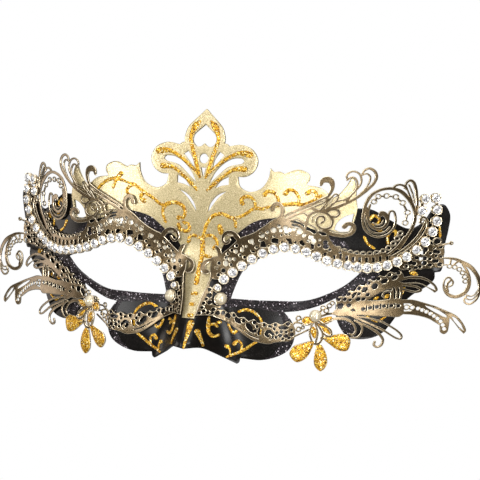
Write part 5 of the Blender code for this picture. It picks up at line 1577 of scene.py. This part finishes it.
def cut_stone(place, r, lift, turn_deg, verts, faces, paint):
    """Add a round brilliant: crown facets round a table that shows a star of facets below it. Each
    facet gets one of three painted reflection shades in a fixed pattern.
    """
    seat = seat_frame(place, lift)
    rings = []
    for share, height, count, deg in CROWN:
        rings.append(list(range(len(verts), len(verts) + count)))
        verts += [seat @ Vector((px * MM, py * MM, height * MM * r / STONE_R))
                  for px, py in circle(0.0, 0.0, share * r, count, deg + turn_deg)]
    table, mid, girdle, star = rings
    tip = len(verts)
    foot = tip + 1
    verts.append(seat @ Vector((0.0, 0.0, STAR_TIP * MM * r / STONE_R)))
    verts.append(seat @ Vector((0.0, 0.0, STONE_FOOT * MM)))
    for k in range(8):
        n = (k + 1) % 8
        before = (k - 1) % 8
        left, middle, right = (girdle[(2 * k + i) % 16] for i in range(3))
        # Each facet with the index of its painted reflection shade: light, grey or dark.
        rows = [
            ([table[before], mid[k], table[k]], (0, 1, 0, 2)[k % 4]),
            ([mid[k], middle, table[k]], 0),
            ([middle, mid[n], table[k]], (1, 0)[k % 2]),
            ([mid[k], left, middle], (0, 2, 1)[k % 3]),
            ([middle, right, mid[n]], (1, 0, 0)[k % 3]),
            ([table[before], table[k], star[k]], (0, 1)[k % 2]),
            ([table[k], star[n], star[k]], (2, 0, 1, 0)[k % 4]),
            ([star[k], star[n], tip], (2, 1)[k % 2]),
            ([middle, left, foot], 1),
            ([right, middle, foot], 1),
        ]
        for loop, shade in rows:
            faces.append(loop)
            paint.append(shade)


def add_lathe(place, profile, steps, lift, index, verts, faces, paint):
    """Add a turned body to a growing mesh."""
    more, loops = lathe(place, profile, steps, lift)
    first = len(verts)
    verts += more
    faces += [[i + first for i in loop] for loop in loops]
    paint += [index] * len(loops)


def make_stones():
    """Rhinestones in round cups, and the small stone beside the nose."""
    gems = ([], [], [])
    cups = ([], [], [])
    for k, (x, z, nx, nz) in enumerate(stone_places()):
        cut_stone((x, z), STONE_R, STONE_LIFT, STONE_TURN * k, *gems)
        add_lathe((x, z), CUP_PROFILE, 16, STONE_SEAT, 1, *cups)
        for deg in PRONG_DEGS:
            turn = math.radians(deg) + math.atan2(nz, nx)
            at = (x + PRONG_REACH * math.cos(turn), z + PRONG_REACH * math.sin(turn))
            add_lathe(at, PRONG_PROFILE, 8, STONE_SEAT, 1, *cups)
    row = new_piece("stones", *gems, PAINTED_FACET_REFLECTIONS, GEM_SHARP_DEG)
    both_sides(row, "rhinestones", "crystal", "rhinestone_row")
    both_sides(new_piece("cups", *cups, METALS), "rhinestone_cups", "antique_gold")
    gem = ([], [], [])
    cup = ([], [], [])
    cut_stone(NOSE_GEM_AT, GEM_R, GEM_LIFT, GEM_TURN, *gem)
    add_lathe(NOSE_GEM_AT, GEM_CUP_PROFILE, 20, PLATE_LIFT, 0, *cup)
    stone = new_piece("gem", *gem, PAINTED_FACET_REFLECTIONS, GEM_SHARP_DEG)
    both_sides(stone, "nose_gem_stone", "crystal", "nose_gem")
    both_sides(new_piece("gem_cup", *cup, [BRIGHT]), "nose_gem_cup", "antique_gold")


# ---------------------------------------------------------------- rivets

STUD_R = 2.55
SHANK_R = 0.85
HEAD_R = 1.9
HEAD_THICK = 0.6
DOME_R = STUD_R - 0.18
DOME_FOOT = 0.5
DOME_HIGH = 1.55
STUD_STEPS = 32
# Name, place, height of the dome's seat and height of the back of the riveted stack.
STUDS = [("nose_stud", NOSE_STUD_AT, PLATE_LIFT + 0.55, -SHELL_THICK - 0.4),
         ("cheek_stud", CHEEK_STUD_AT, FLOWER_LIFT + 0.7, PLATE_LIFT - 0.7 - 0.4)]


def stud_profile(seat, back):
    """Dome, rim, shank and formed head as (radius, height), from the pole of the dome down."""
    dome = [(DOME_R * math.sin(math.radians(a)),
             seat + DOME_FOOT + DOME_HIGH * math.cos(math.radians(a))) for a in range(0, 91, 10)]
    rim = [(DOME_R, seat + 0.42), (STUD_R - 0.1, seat + 0.46), (STUD_R, seat + 0.32),
           (STUD_R, seat + 0.08), (STUD_R - 0.1, seat)]
    shank = [(SHANK_R, seat), (SHANK_R, back), (HEAD_R - 0.2, back), (HEAD_R, back - 0.2),
             (HEAD_R - 0.3, back - HEAD_THICK), (0.0, back - HEAD_THICK)]
    return dome + rim + shank, len(dome)


def make_studs():
    """Pearl domes with a bright rim, shank and formed head."""
    for node, place, seat, back in STUDS:
        profile, dome_count = stud_profile(seat, back)
        verts, faces = lathe(place, profile, STUD_STEPS)
        dome_faces = (dome_count - 1) * STUD_STEPS
        paint = [0 if i < dome_faces else 1 for i in range(len(faces))]
        stud = new_piece(node, verts, faces, paint, [PEARL, BRIGHT])
        both_sides(stud, node + "_dome", "pearl", node)


# ---------------------------------------------------------------- studio

CAM_TURN = 20.0
CAM_RISE = 8.0
CAM_ROLL = 0.4
CAM_FAR = 1000.0
CAM_AIM = (17.55, 16.8)
VIEW_WIDE = 196.8
SENSOR = 36.0
FLOOR_Z = -0.26


def direction(turn_deg, rise_deg):
    """Unit vector from the mask, turned from the front to the viewer's right and raised."""
    turn = math.radians(turn_deg)
    rise = math.radians(rise_deg)
    return Vector((math.sin(turn) * math.cos(rise), -math.cos(turn) * math.cos(rise),
                   math.sin(rise)))


def make_camera():
    """Camera a little to the right of the mask and above it."""
    turn = math.radians(CAM_TURN)
    roll = math.radians(CAM_ROLL)
    right = Vector((math.cos(turn), math.sin(turn), 0.0))
    back = direction(CAM_TURN, CAM_RISE)
    up = back.cross(right)
    side = right * math.cos(roll) + up * math.sin(roll)
    top = up * math.cos(roll) - right * math.sin(roll)
    data = bpy.data.cameras.new("camera")
    data.sensor_width = SENSOR
    data.lens = SENSOR * CAM_FAR / VIEW_WIDE
    data.clip_end = 50.0
    camera = shown("camera", data)
    camera.matrix_world = Matrix((side, top, back)).transposed().to_4x4()
    spot = side * CAM_AIM[0] + top * CAM_AIM[1] + back * CAM_FAR
    camera.matrix_world.translation = spot * MM
    bpy.context.scene.camera = camera


def soft_box(name, turn_deg, rise_deg, far, wide, tall, watts, tint=(1.0, 1.0, 1.0)):
    """Area light on a sphere round the mask, aimed at it."""
    way = direction(turn_deg, rise_deg)
    data = bpy.data.lights.new(name, "AREA")
    data.shape = "RECTANGLE"
    data.size = wide
    data.size_y = tall
    data.energy = watts
    data.color = tint
    lamp = shown(name, data)
    lamp.matrix_world = way.to_track_quat("Z", "Y").to_matrix().to_4x4()
    lamp.matrix_world.translation = way * far
    lamp.visible_camera = False


SWEEP = pairs(0, 0, 5, 0, 6.2, 0.3, 6.8, 1, 7, 2.2, 7, 5)
SWEEP_SIDES = 48
SKY = pairs(0, 0.32, 0.32, 0.2, 0.46, 0.1, 0.6, 0.1, 0.8, 0.26, 1, 0.5)
# Name, turn and rise in degrees, distance, width and height in metres, watts and tint.
SOFT_BOXES = [
    ("left_box", -44.0, 6.0, 1.7, 0.6, 0.5, 7.5),
    ("middle_box", 7.0, 4.0, 1.8, 0.5, 0.5, 4.6),
    ("streak_box", 4.0, 4.0, 1.7, 0.12, 0.5, 2.4),
    ("crown_box", -20.0, 19.0, 1.7, 0.9, 0.35, 2.6),
    ("right_box", 38.0, 16.0, 1.7, 0.55, 0.4, 13.0),
    ("high_box", 50.0, 36.0, 1.7, 0.6, 0.5, 5.0),
    ("bridge_box", -20.0, 40.0, 1.7, 1.1, 0.4, 4.5),
    ("side_box", -88.0, -3.0, 1.7, 0.7, 0.5, 3.0, (1.0, 0.91, 0.83)),
    ("low_box", 39.0, -17.0, 1.7, 0.6, 0.28, 7.0),
    ("top_box", -10.0, 76.0, 1.5, 1.2, 1.0, 7.0),
    ("back_box", 180.0, 40.0, 1.8, 1.6, 1.2, 10.0),
]


def make_sweep():
    """White floor that curves up into a wall all round."""
    mat = bpy.data.materials.new("studio_white")
    mat.use_nodes = True
    tree = mat.node_tree
    glow = tree.nodes.new("ShaderNodeEmission")
    glow.inputs["Color"].default_value = (1.0, 1.0, 1.0, 1.0)
    tree.links.new(glow.outputs["Emission"], tree.nodes["Material Output"].inputs["Surface"])
    tree.nodes.remove(tree.nodes["Principled BSDF"])
    verts = [(px, py, z + FLOOR_Z) for r, z in SWEEP
             for px, py in circle(0.0, 0.0, r, SWEEP_SIDES)]
    faces = []
    for low in range(0, len(verts) - SWEEP_SIDES, SWEEP_SIDES):
        for k in range(SWEEP_SIDES):
            n = (k + 1) % SWEEP_SIDES
            faces.append([low + k, low + n, low + SWEEP_SIDES + n, low + SWEEP_SIDES + k])
    mesh = bpy.data.meshes.new("studio_sweep")
    mesh.from_pydata(verts, [], faces)
    mesh.materials.append(mat)
    mesh.shade_smooth()
    sweep = shown("studio_sweep", mesh)
    sweep.visible_diffuse = False
    sweep.visible_glossy = False
    sweep.visible_transmission = False
    sweep.visible_shadow = False


def make_sky():
    """Soft light from all round: bright above and below, darker at eye level."""
    world = bpy.data.worlds.new("studio")
    world.use_nodes = True
    tree = world.node_tree
    place = tree.nodes.new("ShaderNodeTexCoord")
    split = tree.nodes.new("ShaderNodeSeparateXYZ")
    tree.links.new(place.outputs["Generated"], split.inputs["Vector"])
    height = tree.nodes.new("ShaderNodeMapRange")
    height.inputs["From Min"].default_value = -1.0
    tree.links.new(split.outputs["Z"], height.inputs["Value"])
    ramp = tree.nodes.new("ShaderNodeValToRGB")
    fill_ramp(ramp, [(position, (level, level, level)) for position, level in SKY])
    tree.links.new(height.outputs["Result"], ramp.inputs["Fac"])
    tree.links.new(ramp.outputs["Color"], tree.nodes["Background"].inputs["Color"])
    bpy.context.scene.world = world


def make_studio():
    """Pale sweep and large soft lights."""
    make_sweep()
    make_sky()
    bpy.context.scene.view_settings.view_transform = "Standard"
    for box in SOFT_BOXES:
        soft_box(*box)


# ---------------------------------------------------------------- assembly

make_shell()
make_scrolls()
make_plates()
make_flowers()
make_stones()
make_studs()
make_camera()
make_studio()
